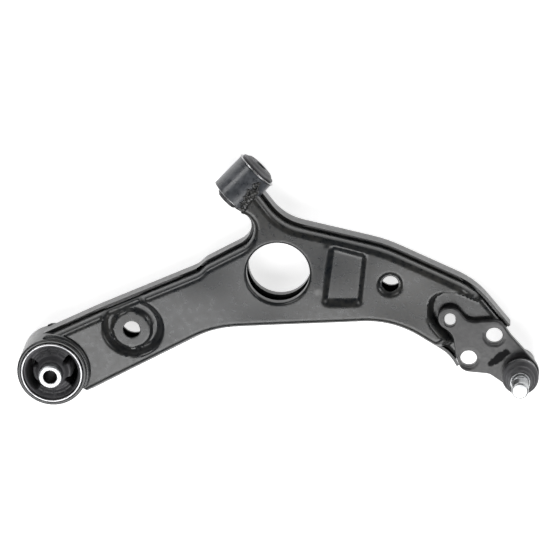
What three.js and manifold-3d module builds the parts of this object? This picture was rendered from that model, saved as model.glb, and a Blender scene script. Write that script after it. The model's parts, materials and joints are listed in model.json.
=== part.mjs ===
// Front lower control arm of a passenger car: a two-shell pressed steel arm with a horizontal front
// bush, a vertical rear bush and a ball joint pressed into a forged bracket that is welded to the arm.
//
// Millimetres, +Z up along the stud side of the arm. The sketch origin is the rear bush axis at floor
// level, +X runs towards the ball joint and +Y towards the front bush. The finished group is shifted
// at the end, so that the middle of its footprint is the origin.

import * as THREE from 'three';
import { mergeVertices } from 'three/addons/utils/BufferGeometryUtils.js';
import Module from 'manifold-3d';

const wasm = await Module();
wasm.setup();

// ---- driving dimensions --------------------------------------------------------------------------

const FIT = 0.35;               // clearance between two pieces that seat on each other
const RAD = Math.PI / 180;
const ARC_STEP = 12 * RAD;      // largest turn of one straight step on an outline arc
const SMALL_STEPS = 26;         // steps round a small turned piece
const FRONT_STEPS = 32;         // steps round the front bush
const REAR_STEPS = 40;          // steps round the rear bush and the large hole
const EDGE = 0.8;               // chamfer on the ends of turned pieces
const WIDE = 2400;              // side of a block that cuts right across the arm
const MERGE_DISTANCE = 0.00173; // an uneven value, so that no round size falls between two cells

// hard points
const pivotSpacing = 292;       // rear bush axis to the middle of the front bush
const pivotBearing = 45 * RAD;  // direction of the front bush from the rear bush
const ballX = 500;              // ball centre from the rear bush axis
const ballY = 1;
const frontTilt = 8 * RAD;      // front bush axis against the plane of the arm, outer end down

// pressed shells
const sheet = 3;                // steel thickness
const armBottomZ = 5;           // underside of the lower shell
const armTopZ = 44;             // top face of the upper shell
const lowerSkirtTopZ = 27;      // upper edge of the lower shell's side wall
const upperSkirtEndZ = 13;      // lower edge of the upper shell's side wall
const topEdgeRadius = 7;        // rounding between the top face and the side wall
const bottomEdgeRadius = 6;     // rounding between the underside and the side wall

// large lightening hole, placed from the front bush
const bigHole = { x: 37, y: -93.5, r: 33.5, lip: 11, flare: 3.2 };

// small collared hole, placed from the ball centre
const smallHole = { x: -138, y: 101, r: 8.8, collar: 13.2, depth: 2.4 };

// stamped well with a round pad and its hole, beside the rear bush
const well = { x: 86, y: 50, r: 25.5, depth: 9, draft: 6 };
const wellPad = { x: 86, y: 46, r: 20.5, rise: 3.4, hole: 9, clearance: 15 };

// four-sided pocket
const pocketDepth = 4.5;
const pocketDraft = 4.5;

// recessed land for the ball joint bracket
const landTopZ = 27;
const landDraft = 5.5;

// rear bush, vertical axis
const rearHousing = { r: 37.5, wall: 4, bottomZ: 2.5, topZ: 50, chamfer: 1.3 };
const rearSleeve = { wall: 2.1, bottomZ: 3.5, topZ: 52.2 };
const rearCore = { r: 12.5, bore: 7.1, bottomZ: 0, topZ: 64 };
const rearVoid = { innerR: 15.6, outerR: 27.6, bumpR: 21.5, bumpHalf: 27 * RAD, half: 42 * RAD };
const rearGrip = 9;             // how far the shells stop short of the rear bush axis

// front bush, near-horizontal axis
const frontTube = { r: 22, wall: 3.2, length: 39 };
const frontSleeve = { wall: 1.6, proud: 1, flange: 1.5, tail: 1 };
const frontCore = { r: 11, bore: 6.1, noseLength: 5.8 };
const frontBuffer = { r: 20.5, height: 5.3, edge: 1.9, crownR: 13.5 };

// ball joint bracket, a forged plate
const bracketThickness = 8;
const bracketEdge = 1.2;
const bracketRingWall = 4.05;
const boltHoleR = 8.9;
const shellBoltClearance = 2.6;

// ball joint
const ball = { r: 11, z: 25.5 };
const seat = { wall: 2.2, rise: 5.5 };
const cartridge = { wall: 1.7, flangeWidth: 2.8, flangeHeight: 4, mouthLand: 2.6, mouthFlare: 2.4 };
const cover = { z: 3, thickness: 2.6 };
const clip = { thickness: 1.8, width: 3.2, depth: 0.9, opening: 9 };
const stud = { r: 9, neckR: 6.2, topZ: 87.5, groove: 1.3 };
const boot = { inwards: 0.2, bulge: 1.4, wall: 1.6, neckZ: 63.5 };

// ---- small tools -----------------------------------------------------------------------------------

const vec2 = (x, y) => new THREE.Vector2(x, y);
const rearPoint = vec2(0, 0);
const frontPoint = vec2(pivotSpacing, 0).rotateAround(rearPoint, pivotBearing);
const ballPoint = vec2(ballX, ballY);

/** Turns a polygon of [x, y, cornerRadius] into a loop of points with tangent arcs at its corners. */
function roundedLoop(corners) {
  const loop = [];
  const count = corners.length;
  corners.forEach(([x, y, radius = 0], i) => {
    const corner = vec2(x, y);
    const before = vec2(...corners[(i + count - 1) % count]).sub(corner).normalize();
    const after = vec2(...corners[(i + 1) % count]).sub(corner).normalize();
    const half = Math.acos(THREE.MathUtils.clamp(before.dot(after), -1, 1)) / 2;
    const turn = Math.PI - 2 * half;
    if (radius === 0 || turn < 0.5 * RAD) {
      loop.push(corner);
      return;
    }
    const centre = before.clone().add(after).normalize().multiplyScalar(radius / Math.sin(half)).add(corner);
    const start = before.clone().multiplyScalar(radius / Math.tan(half)).add(corner);
    const side = Math.sign(before.cross(after));
    const steps = Math.max(1, Math.ceil(turn / ARC_STEP));
    for (let k = 0; k <= steps; k += 1) {
      loop.push(start.clone().rotateAround(centre, -side * turn * (k / steps)));
    }
  });
  return loop;
}

/** Moves every side of a loop inwards by a distance; a negative distance moves it outwards. */
function inset(loop, distance) {
  const turning = Math.sign(THREE.ShapeUtils.area(loop));
  const count = loop.length;
  return loop.map((point, i) => {
    const before = point.clone().sub(loop[(i + count - 1) % count]).normalize();
    const after = loop[(i + 1) % count].clone().sub(point).normalize();
    const normal = vec2(-before.y - after.y, before.x + after.x).normalize();
    const stretch = 1 / Math.max(0.35, normal.dot(vec2(-after.y, after.x)));
    return point.clone().addScaledVector(normal, turning * distance * stretch);
  });
}

/** A regular loop round a centre. */
function circle(centre, radius, steps = SMALL_STEPS) {
  return Array.from({ length: steps }, (_, i) =>
    vec2(centre.x + radius, centre.y).rotateAround(centre, (2 * Math.PI * i) / steps));
}

/** Makes a solid from any closed geometry; faces that merging has closed up are left out. */
function solid(geometry) {
  const bare = geometry.clone();
  bare.deleteAttribute('normal');
  bare.deleteAttribute('uv');
  const merged = mergeVertices(bare, MERGE_DISTANCE);
  const index = merged.index.array;
  const faces = [];
  for (let i = 0; i < index.length; i += 3) {
    const [a, b, c] = [index[i], index[i + 1], index[i + 2]];
    if (a !== b && b !== c && c !== a) {
      faces.push(a, b, c);
    }
  }
  return new wasm.Manifold(new wasm.Mesh({
    numProp: 3,
    vertProperties: new Float32Array(merged.attributes.position.array),
    triVerts: new Uint32Array(faces),
  }));
}

/** Turns a solid back into a geometry. */
function geometryOf(body) {
  const mesh = body.getMesh();
  const geometry = new THREE.BufferGeometry();
  geometry.setAttribute('position', new THREE.BufferAttribute(new Float32Array(mesh.vertProperties), 3));
  geometry.setIndex(new THREE.BufferAttribute(new Uint32Array(mesh.triVerts), 1));
  geometry.computeVertexNormals();
  return geometry;
}

/** A solid through equally long loops, each at its own height, from the lowest to the highest. */
function lofted(rings) {
  const count = rings[0].loop.length;
  const clockwise = THREE.ShapeUtils.area(rings[0].loop) < 0;
  const positions = rings.flatMap(({ loop, z }) => loop.flatMap((p) => [p.x, p.y, z]));
  const index = [];
  const face = (a, b, c) => index.push(...(clockwise ? [a, c, b] : [a, b, c]));
  for (let ring = 0; ring < rings.length - 1; ring += 1) {
    const low = ring * count;
    const high = low + count;
    for (let i = 0; i < count; i += 1) {
      const next = (i + 1) % count;
      face(low + i, low + next, high + next);
      face(low + i, high + next, high + i);
    }
  }
  const top = (rings.length - 1) * count;
  const capOf = (loop) => THREE.ShapeUtils.triangulateShape(clockwise ? [...loop].reverse() : loop, []);
  const at = (k) => (clockwise ? count - 1 - k : k);
  for (const [a, b, c] of capOf(rings[0].loop)) {
    index.push(at(a), at(c), at(b));
  }
  for (const [a, b, c] of capOf(rings.at(-1).loop)) {
    index.push(top + at(a), top + at(b), top + at(c));
  }
  const geometry = new THREE.BufferGeometry();
  geometry.setAttribute('position', new THREE.Float32BufferAttribute(positions, 3));
  geometry.setIndex(index);
  return solid(geometry);
}

/** A straight prism of a loop between two heights. */
function prism(loop, bottomZ, topZ) {
  const geometry = new THREE.ExtrudeGeometry(new THREE.Shape(loop), {
    depth: topZ - bottomZ,
    bevelEnabled: false,
    curveSegments: 1,
  });
  return solid(geometry.translate(0, 0, bottomZ));
}

/** A prism whose rim at one end is rounded; that end lies at roundZ and the plain end at plainZ. */
function roundedPrism(loop, plainZ, roundZ, radius, steps = 4) {
  const up = Math.sign(roundZ - plainZ);
  const rings = [{ loop, z: plainZ }];
  for (let k = 0; k <= steps; k += 1) {
    const angle = (Math.PI / 2) * (k / steps);
    const shift = radius * (1 - Math.cos(angle));
    rings.push({ loop: inset(loop, shift), z: roundZ - up * radius * (1 - Math.sin(angle)) });
  }
  return lofted(up > 0 ? rings : rings.reverse());
}

/** A solid of revolution about +Z at a centre, from a profile of [radius, height] counterclockwise. */
function turned(profile, centre = vec2(0, 0), steps = SMALL_STEPS) {
  const points = profile.map(([radius, height]) => vec2(radius, height));
  const onAxis = points[0].x === 0 && points.at(-1).x === 0;
  const geometry = new THREE.LatheGeometry(onAxis ? points : [...points, points[0].clone()], steps);
  return solid(geometry.rotateX(Math.PI / 2).translate(centre.x, centre.y, 0));
}

/** A plain cylinder along +Z. */
function cylinder(centre, radius, bottomZ, topZ, steps = SMALL_STEPS) {
  return turned([[0, bottomZ], [radius, bottomZ], [radius, topZ], [0, topZ]], centre, steps);
}

/** A large block on the far side of an upright plane, to cut with. */
function blockBeyond(point, bearing, size = WIDE) {
  const geometry = new THREE.BoxGeometry(size, size, size).translate(size / 2, 0, 0);
  geometry.rotateZ(bearing).translate(point.x, point.y, 0);
  return solid(geometry);
}

/** Moves a solid that was modelled about the front bush axis, lying along +Z, to its place. */
function onFrontAxis(body) {
  const geometry = geometryOf(body);
  geometry.rotateY(Math.PI / 2 + frontTilt).rotateZ(pivotBearing);
  return solid(geometry.translate(frontPoint.x, frontPoint.y, frontAxisZ));
}

// ---- outlines ----------------------------------------------------------------------------------------

const frontDrop = (frontTube.length / 2 + FIT + frontSleeve.flange) * Math.sin(frontTilt);
const frontFlangeR = frontTube.r + frontSleeve.proud;
const frontAxisZ = frontDrop + frontFlangeR * Math.cos(frontTilt);

/** A corner given from the front bush, along its axis and square to it, towards the arm. */
function fromFront(along, across, radius = 0) {
  const point = vec2(along, -across).rotateAround(rearPoint, pivotBearing).add(frontPoint);
  return [point.x, point.y, radius];
}

/** A corner given from the ball centre. */
const fromBall = (x, y, radius = 0) => [ballX + x, ballY + y, radius];

/** A corner of the middle of the arm, given from the front bush along the part's own axes. */
const inMiddle = (x, y, radius = 0) => [frontPoint.x + x, frontPoint.y + y, radius];

// The outline runs past the rear end and the ball joint end, where flat cuts finish it.
const armOutline = roundedLoop([
  [-42, 21],
  [47, 64, 260],
  inMiddle(-49.5, -94, 22),
  inMiddle(-41.5, -86, 22),
  fromFront(-35.6, 47.7, 23),
  fromFront(-16.6, 28.6, 12),
  fromFront(-29, 17),
  fromFront(-29, -6),
  fromFront(12, -6),
  fromFront(2.5, 57.6, 55),
  fromBall(-143, 141, 150),
  fromBall(-48, 97, 90),
  fromBall(14, 20),
  fromBall(-53, -21),
  fromBall(-76, 18, 40),
  fromBall(-136, 56, 100),
  inMiddle(-31.5, -160.5, 110),
  [15, -40],
]);

const landOutline = roundedLoop([
  fromBall(-10, 70),
  fromBall(-31, 77, 20),
  fromBall(-66, 93, 30),
  fromBall(-97, 92, 17),
  fromBall(-99, 60, 24),
  fromBall(-76, 31, 40),
  fromBall(-58, -6, 20),
  fromBall(-30, -50),
  fromBall(60, 0),
]);

// The narrow leg of the arm beside the land runs down to it over this ramp.
const rampStart = fromBall(-88, 37);
const rampBearing = -54 * RAD;
const rampDraft = 14;
const rampOutline = [[0, 32], [0, -30], [90, -30], [90, 32]].map(([along, across]) =>
  vec2(along, across).rotateAround(rearPoint, rampBearing).add(vec2(...rampStart)));

const pocketOutline = roundedLoop([
  fromBall(-201, 145, 6),
  fromBall(-162, 134, 5),
  fromBall(-168, 77, 5),
  fromBall(-211, 76, 6),
]);

const bracketOutline = roundedLoop([
  fromBall(-69, 74, 13),
  fromBall(-56, 57, 14),
  fromBall(-22, 60, 13),
  fromBall(-10, 42, 12),
  fromBall(14.5, 13.5),
  fromBall(20, 0),
  fromBall(14.5, -14),
  fromBall(0, -20),
  fromBall(-14, -15.5),
  fromBall(-33, -1, 14),
  fromBall(-63, 1.5, 12),
  fromBall(-69, 20, 12),
  fromBall(-72, 43, 16),
  fromBall(-88, 54, 11),
  fromBall(-88, 72, 11),
]);

const boltHoles = [vec2(ballX - 28, ballY + 42), vec2(ballX - 55, ballY + 16)];
const slotCentre = vec2(ballX - 75, ballY + 59);
const slotHalf = { width: 5.9, length: 7.6 };

const endPoint = vec2(ballX - 45, ballY + 23);
const endBearing = -50 * RAD;

// ---- shells --------------------------------------------------------------------------------------------

const upperOutline = inset(armOutline, sheet + FIT);
const bigHoleCentre = vec2(...inMiddle(bigHole.x, bigHole.y));
const smallHoleCentre = vec2(...fromBall(smallHole.x, smallHole.y));
const wellCentre = vec2(well.x, well.y);
const padCentre = vec2(wellPad.x, wellPad.y);
const slotLoop = roundedLoop([
  [slotCentre.x - slotHalf.width, slotCentre.y - slotHalf.length, slotHalf.width - 0.1],
  [slotCentre.x + slotHalf.width, slotCentre.y - slotHalf.length, slotHalf.width - 0.1],
  [slotCentre.x + slotHalf.width, slotCentre.y + slotHalf.length, slotHalf.width - 0.1],
  [slotCentre.x - slotHalf.width, slotCentre.y + slotHalf.length, slotHalf.width - 0.1],
]);

/** Cuts both shells share: the flat ends, the two bush seats and the bracket's hole clearances. */
function trimShell(shell) {
  const rearCut = blockBeyond(vec2(rearGrip * Math.SQRT1_2, rearGrip * Math.SQRT1_2), 225 * RAD);
  const endCut = blockBeyond(endPoint, endBearing);
  const rearSeat = cylinder(rearPoint, rearHousing.r + FIT, -10, 80, REAR_STEPS);
  const frontSeat = onFrontAxis(cylinder(rearPoint, frontTube.r + FIT, -40, 40, FRONT_STEPS));
  let body = shell.subtract(rearCut).subtract(endCut).subtract(rearSeat).subtract(frontSeat);
  for (const hole of boltHoles) {
    body = body.subtract(cylinder(hole, boltHoleR + shellBoltClearance, -10, 80));
  }
  return body.subtract(prism(inset(slotLoop, -shellBoltClearance), -10, 80));
}

/** A recess with sloping walls: what to cut away, and the sheet that lines it. */
function recess(loop, floorZ, draft) {
  const depth = armTopZ - floorZ;
  const over = 4;
  const slope = draft / depth;
  const cut = lofted([
    { loop: inset(loop, draft), z: floorZ },
    { loop: inset(loop, -over * slope), z: armTopZ + over },
  ]);
  const liningLoop = inset(loop, -sheet);
  const lining = lofted([
    { loop: inset(liningLoop, draft), z: floorZ - sheet },
    { loop: liningLoop, z: armTopZ - sheet * 0.2 },
  ]);
  return { cut, lining };
}

function makeUpperShell() {
  const outside = roundedPrism(upperOutline, armBottomZ - 20, armTopZ, topEdgeRadius);
  const inside = roundedPrism(
    inset(upperOutline, sheet), armBottomZ - 30, armTopZ - sheet, topEdgeRadius - sheet,
  );
  const land = recess(landOutline, landTopZ, landDraft);
  const ramp = recess(rampOutline, landTopZ, rampDraft);
  const pocket = recess(pocketOutline, armTopZ - pocketDepth, pocketDraft);
  const wellMouth = circle(wellCentre, well.r + well.draft, FRONT_STEPS);
  const wellRecess = recess(wellMouth, armTopZ - well.depth, well.draft);
  const collar = recess(circle(smallHoleCentre, smallHole.collar), armTopZ - smallHole.depth, 2);
  let body = outside.subtract(inside);
  for (const { lining } of [land, ramp, pocket, wellRecess, collar]) {
    body = body.add(lining.intersect(outside));
  }
  for (const { cut } of [land, ramp, pocket, wellRecess, collar]) {
    body = body.subtract(cut);
  }
  const padZ = armTopZ - well.depth + wellPad.rise;
  const pad = turned([
    [0, padZ - wellPad.rise - sheet * 0.5], [wellPad.r + 2, padZ - wellPad.rise - sheet * 0.5],
    [wellPad.r + 2, padZ - wellPad.rise], [wellPad.r, padZ - 0.8], [wellPad.r - 1.5, padZ], [0, padZ],
  ], padCentre, FRONT_STEPS);
  const lip = turned([
    [bigHole.r, armTopZ - bigHole.lip], [bigHole.r + sheet, armTopZ - bigHole.lip],
    [bigHole.r + sheet, armTopZ - 5], [bigHole.r + sheet + 3, armTopZ - 0.4], [bigHole.r, armTopZ - 0.4],
  ], bigHoleCentre, REAR_STEPS);
  const lipMouth = turned([
    [0, armTopZ - 40], [bigHole.r, armTopZ - 40], [bigHole.r, armTopZ - bigHole.flare],
    [bigHole.r + 1, armTopZ - 1], [bigHole.r + bigHole.flare, armTopZ],
    [bigHole.r + bigHole.flare, armTopZ + 5],
    [0, armTopZ + 5],
  ], bigHoleCentre, REAR_STEPS);
  body = body.add(pad).add(lip).subtract(lipMouth);
  body = body.subtract(cylinder(padCentre, wellPad.hole, 10, 60));
  body = body.subtract(cylinder(smallHoleCentre, smallHole.r, 10, 60));
  const belowSkirt = solid(new THREE.BoxGeometry(WIDE, WIDE, 100).translate(0, 0, upperSkirtEndZ - 50));
  return trimShell(body.subtract(belowSkirt));
}

function makeLowerShell() {
  const outside = roundedPrism(armOutline, lowerSkirtTopZ + 30, armBottomZ, bottomEdgeRadius);
  const inside = roundedPrism(
    inset(armOutline, sheet), lowerSkirtTopZ + 40, armBottomZ + sheet, bottomEdgeRadius - sheet,
  );
  const above = solid(new THREE.BoxGeometry(WIDE, WIDE, 100).translate(0, 0, lowerSkirtTopZ + 50));
  const lip = turned([
    [bigHole.r, armBottomZ + 0.4], [bigHole.r + sheet + 2, armBottomZ + 0.4],
    [bigHole.r + sheet, armBottomZ + 5],
    [bigHole.r + sheet, armBottomZ + bigHole.lip], [bigHole.r, armBottomZ + bigHole.lip],
  ], bigHoleCentre, REAR_STEPS);
  let body = outside.subtract(inside).subtract(above).add(lip);
  body = body.subtract(cylinder(bigHoleCentre, bigHole.r, -10, 60, REAR_STEPS));
  body = body.subtract(cylinder(padCentre, wellPad.clearance, -10, 60));
  body = body.subtract(cylinder(smallHoleCentre, smallHole.collar, -10, 60));
  return trimShell(body);
}

// ---- welds -----------------------------------------------------------------------------------------------

/** A rippled bead along a straight line between two points, before it is fitted to its neighbours. */
function beadAlong(from, to, radius) {
  const length = from.distanceTo(to);
  const ripples = Math.max(3, Math.round(length / 4));
  const profile = [[0, 0]];
  for (let i = 0; i < ripples; i += 1) {
    const at = (length * i) / ripples;
    const swell = radius * (0.93 + 0.07 * Math.cos(i * 2.4));
    profile.push([swell * 0.82, at + 0.4], [swell, at + 0.45 * (length / ripples)]);
  }
  profile.push([radius * 0.8, length - 0.3], [0, length]);
  const geometry = geometryOf(turned(profile, vec2(0, 0), 12));
  const direction = to.clone().sub(from).normalize();
  geometry.applyQuaternion(new THREE.Quaternion().setFromUnitVectors(new THREE.Vector3(0, 0, 1), direction));
  return solid(geometry.translate(from.x, from.y, from.z));
}

/** The fillet weld between the front bush tube and one shell, on the arm side of the tube. */
function makeFrontWeld(shellFaceZ, outwards, size) {
  const heightAt = (along) => frontAxisZ - along * Math.sin(frontTilt);
  const cornerAt = (along) => {
    const rise = Math.abs(shellFaceZ - heightAt(along));
    const across = Math.sqrt(Math.max(frontTube.r ** 2 - rise ** 2, sheet ** 2));
    const [x, y] = fromFront(along, across + 1.2);
    return new THREE.Vector3(x, y, shellFaceZ + outwards * 0.9);
  };
  const bead = beadAlong(cornerAt(-16), cornerAt(10), size);
  const seat = onFrontAxis(cylinder(rearPoint, frontTube.r + FIT, -40, 40, FRONT_STEPS));
  const face = shellFaceZ + outwards * FIT;
  const shellSide = solid(new THREE.BoxGeometry(WIDE, WIDE, 60).translate(0, 0, face - outwards * 30));
  return bead.subtract(seat).subtract(shellSide);
}

/** The fillet weld round the rear housing on one shell face. */
function makeRearWeld(shellFaceZ, outwards, size) {
  const innerR = rearHousing.r + FIT;
  const face = shellFaceZ + outwards * FIT;
  const far = face + outwards * size;
  const section = [[innerR, face], [innerR + size, face],
    [innerR + size * 0.72, face + outwards * size * 0.5],
    [innerR + 0.3 * size, far - outwards * size * 0.1], [innerR, far]];
  const ring = turned(outwards > 0 ? section : section.reverse(), rearPoint, REAR_STEPS);
  return ring.subtract(blockBeyond(vec2(rearGrip * 0.9, rearGrip * 0.9), 225 * RAD));
}

/** The weld of the two shells' overlap along one stretch, between two upright planes. */
function makeSeamWeld(planes) {
  const size = sheet - 0.4;
  const baseZ = lowerSkirtTopZ + FIT;
  const bead = lofted([
    { loop: inset(armOutline, 0.5), z: baseZ },
    { loop: inset(armOutline, 1.3), z: baseZ + size * 0.6 },
    { loop: inset(armOutline, 2.6), z: baseZ + size },
  ]);
  let body = bead.subtract(prism(inset(armOutline, sheet), baseZ - 5, baseZ + 10));
  for (const { point, bearing } of planes) {
    body = body.subtract(blockBeyond(point, bearing * RAD));
  }
  return body;
}

function makeBracketWeld() {
  const middle = boltHoles[0].clone().lerp(boltHoles[1], 0.5);
  const along = boltHoles[0].clone().sub(boltHoles[1]).normalize();
  const outwards = vec2(Math.cos(endBearing), Math.sin(endBearing));
  const place = (shift) => {
    const gap = endPoint.clone().sub(middle).dot(outwards) + 0.6;
    const point = middle.clone().addScaledVector(along, shift).addScaledVector(outwards, gap);
    return new THREE.Vector3(point.x, point.y, landTopZ - sheet / 2 - 0.4);
  };
  const bead = beadAlong(place(-6), place(6), 3.4);
  const shellSide = blockBeyond(endPoint.clone().addScaledVector(outwards, FIT), endBearing + Math.PI);
  const bracketSide = solid(new THREE.BoxGeometry(WIDE, WIDE, 60).translate(0, 0, landTopZ + 30));
  return bead.subtract(shellSide).subtract(bracketSide);
}

// ---- rear bush -------------------------------------------------------------------------------------------

const housingBore = rearHousing.r - rearHousing.wall;
const rearSleeveR = housingBore - FIT;
const rearSleeveBore = rearSleeveR - rearSleeve.wall;

function makeRearHousing() {
  const { r, bottomZ, topZ, chamfer } = rearHousing;
  return turned([
    [housingBore, bottomZ], [r, bottomZ], [r, topZ - chamfer], [r - chamfer, topZ],
    [housingBore + chamfer, topZ], [housingBore, topZ - chamfer],
  ], rearPoint, REAR_STEPS);
}

function makeRearSleeve() {
  const { bottomZ, topZ } = rearSleeve;
  return turned([
    [rearSleeveBore, bottomZ], [rearSleeveR, bottomZ], [rearSleeveR, topZ - 0.7],
    [rearSleeveR - 0.6, topZ], [rearSleeveBore + 0.4, topZ], [rearSleeveBore, topZ - 0.5],
  ], rearPoint, REAR_STEPS);
}

function makeRearCore() {
  const { r, bore, bottomZ, topZ } = rearCore;
  return turned([
    [bore, bottomZ + EDGE], [bore + EDGE, bottomZ], [r - EDGE, bottomZ], [r, bottomZ + EDGE],
    [r, topZ - EDGE],
    [r - EDGE, topZ], [bore + EDGE, topZ], [bore, topZ - EDGE],
  ], rearPoint);
}

/** One kidney-shaped void of the rear rubber, with the bump stop standing in it. */
function kidneyLoop(middle) {
  const { innerR, outerR, bumpR, bumpHalf, half } = rearVoid;
  const polar = (radius, angle) => vec2(radius, 0).rotateAround(rearPoint, middle + angle);
  const arc = (radius, from, to, steps) =>
    Array.from({ length: steps + 1 }, (_, i) => polar(radius, from + ((to - from) * i) / steps));
  return [
    ...arc(outerR, -half, half, 10),
    ...arc(innerR, half * 0.93, bumpHalf * 1.12, 2),
    ...arc(bumpR, bumpHalf * 0.8, -bumpHalf * 0.8, 6),
    ...arc(innerR, -bumpHalf * 1.12, -half * 0.93, 2),
  ];
}

function makeRearRubber() {
  const outerR = rearSleeveBore - FIT;
  const innerR = rearCore.r + FIT;
  const { bottomZ, topZ } = rearSleeve;
  const { innerR: innerVoidR, outerR: outerVoidR, bumpR } = rearVoid;
  const rubber = turned([
    [innerR, bottomZ + 2], [innerR + 3, bottomZ + 3], [bumpR - 1.5, bottomZ + 8],
    [outerVoidR - 1.6, bottomZ + 5],
    [outerR, bottomZ + 3], [outerR, topZ - 3.5], [outerVoidR, topZ - 4.5], [outerVoidR - 1.6, topZ - 7],
    [bumpR + 0.5, topZ - 8.5], [innerVoidR + 1.9, topZ - 6], [innerR + 2.2, topZ], [innerR, topZ + 1.5],
  ], rearPoint, REAR_STEPS);
  const voids = [3.5 * RAD, Math.PI + 9.5 * RAD].map((middle) => prism(kidneyLoop(middle), -20, 90));
  return voids.reduce((body, hollow) => body.subtract(hollow), rubber);
}

// ---- front bush, modelled about +Z with the outer end up --------------------------------------------------

const frontHalf = frontTube.length / 2;
const frontSleeveR = frontTube.r - frontTube.wall - FIT;
const frontSleeveBore = frontSleeveR - frontSleeve.wall;
const flangeZ = frontHalf + FIT;
const tailZ = -frontHalf - frontSleeve.tail;
const bufferZ = flangeZ + frontSleeve.flange + FIT;
const frontRubberBore = frontCore.r + FIT;

function makeFrontTube() {
  const bore = frontTube.r - frontTube.wall;
  return onFrontAxis(turned([
    [bore, -frontHalf], [frontTube.r - 0.6, -frontHalf], [frontTube.r, -frontHalf + 0.6],
    [frontTube.r, frontHalf - 0.6], [frontTube.r - 0.6, frontHalf], [bore, frontHalf],
  ], rearPoint, FRONT_STEPS));
}

function makeFrontSleeve() {
  return onFrontAxis(turned([
    [frontSleeveBore, tailZ], [frontSleeveR, tailZ], [frontSleeveR, flangeZ],
    [frontFlangeR, flangeZ], [frontFlangeR, flangeZ + frontSleeve.flange],
    [frontSleeveBore, flangeZ + frontSleeve.flange],
  ], rearPoint, FRONT_STEPS));
}

function makeFrontRubber() {
  const outerR = frontSleeveBore - FIT;
  const { r, height, edge, crownR } = frontBuffer;
  return onFrontAxis(turned([
    [frontRubberBore, -frontHalf - 4.2], [frontRubberBore + 1.4, -frontHalf - 4.2],
    [outerR, -frontHalf - 0.4], [outerR, bufferZ], [r - 0.5, bufferZ], [r, bufferZ + 0.6],
    [r, bufferZ + edge], [r - 2.2, bufferZ + edge + 1.4], [crownR + 1, bufferZ + height - 0.5],
    [crownR, bufferZ + height], [frontRubberBore, bufferZ + height],
  ], rearPoint, FRONT_STEPS));
}

function makeFrontCore() {
  const { r, bore, noseLength } = frontCore;
  const low = -frontHalf - noseLength;
  const high = bufferZ + frontBuffer.height + 0.4;
  return onFrontAxis(turned([
    [bore, low + EDGE], [bore + EDGE, low], [r - EDGE, low], [r, low + EDGE], [r, high - EDGE],
    [r - EDGE, high],
    [bore + EDGE, high], [bore, high - EDGE],
  ], rearPoint, FRONT_STEPS));
}

// ---- ball joint -------------------------------------------------------------------------------------------

const seatR = ball.r + FIT;
const seatOuterR = seatR + seat.wall;
const cartridgeBore = seatOuterR + FIT;
const cartridgeR = cartridgeBore + cartridge.wall;
const cartridgeFlangeR = cartridgeR + cartridge.flangeWidth;
const cartridgeMouthR = seatR - 0.45;
const bracketBottomZ = landTopZ + FIT;
const bracketTopZ = bracketBottomZ + bracketThickness;
const flangeBottomZ = bracketTopZ + FIT;
const cartridgeTopZ = flangeBottomZ + cartridge.flangeHeight;
const seatTopZ = ball.z + seat.rise;
const mouthZ = seatTopZ + FIT;
const clipZ = bracketBottomZ - FIT;
const coverTopZ = cover.z + cover.thickness;
const clipSeatR = cartridgeR - clip.depth;
const bracketRingR = cartridgeR + FIT + bracketRingWall;
const bootBaseR = cartridgeFlangeR - boot.inwards;

function makeBracket() {
  const plate = lofted([
    { loop: inset(bracketOutline, bracketEdge), z: bracketBottomZ },
    { loop: bracketOutline, z: bracketBottomZ + bracketEdge },
    { loop: bracketOutline, z: bracketTopZ - bracketEdge },
    { loop: inset(bracketOutline, bracketEdge), z: bracketTopZ },
  ]);
  const ring = turned([
    [0, bracketBottomZ], [bracketRingR - bracketEdge, bracketBottomZ],
    [bracketRingR, bracketBottomZ + bracketEdge],
    [bracketRingR, bracketTopZ - bracketEdge], [bracketRingR - bracketEdge, bracketTopZ], [0, bracketTopZ],
  ], ballPoint);
  let body = plate.add(ring).subtract(cylinder(ballPoint, cartridgeR + FIT, 0, 60));
  for (const hole of boltHoles) {
    body = body.subtract(cylinder(hole, boltHoleR, 0, 60));
    body = body.subtract(cylinder(hole, boltHoleR + 2.8, bracketTopZ - 0.4, 60));
  }
  return body.subtract(prism(slotLoop, 0, 60));
}

function makeCartridge() {
  const r = cartridgeFlangeR;
  const clipGroove = clipZ - clip.thickness - FIT;
  return turned([
    [cartridgeBore, 1], [cartridgeBore + 0.8, 0], [cartridgeR - 1, 0], [cartridgeR, 1],
    [cartridgeR, clipGroove], [clipSeatR, clipGroove], [clipSeatR, clipZ + 0.2], [cartridgeR, clipZ + 0.2],
    [cartridgeR, flangeBottomZ], [r, flangeBottomZ], [r, cartridgeTopZ - EDGE],
    [r - EDGE, cartridgeTopZ], [cartridgeMouthR + cartridge.mouthFlare, cartridgeTopZ],
    [cartridgeMouthR, mouthZ + cartridge.mouthLand], [cartridgeMouthR, mouthZ],
    [cartridgeBore, mouthZ],
  ], ballPoint);
}

function makeClip() {
  const innerR = clipSeatR + FIT;
  const ring = turned([
    [innerR, clipZ - clip.thickness], [innerR + clip.width, clipZ - clip.thickness],
    [innerR + clip.width, clipZ], [innerR, clipZ],
  ], ballPoint);
  const reach = 2 * cartridgeR;
  const opening = new THREE.BoxGeometry(reach, clip.opening, 10).translate(reach / 2, 0, clipZ);
  return ring.subtract(solid(opening.translate(ballPoint.x, ballPoint.y, 0)));
}

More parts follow.
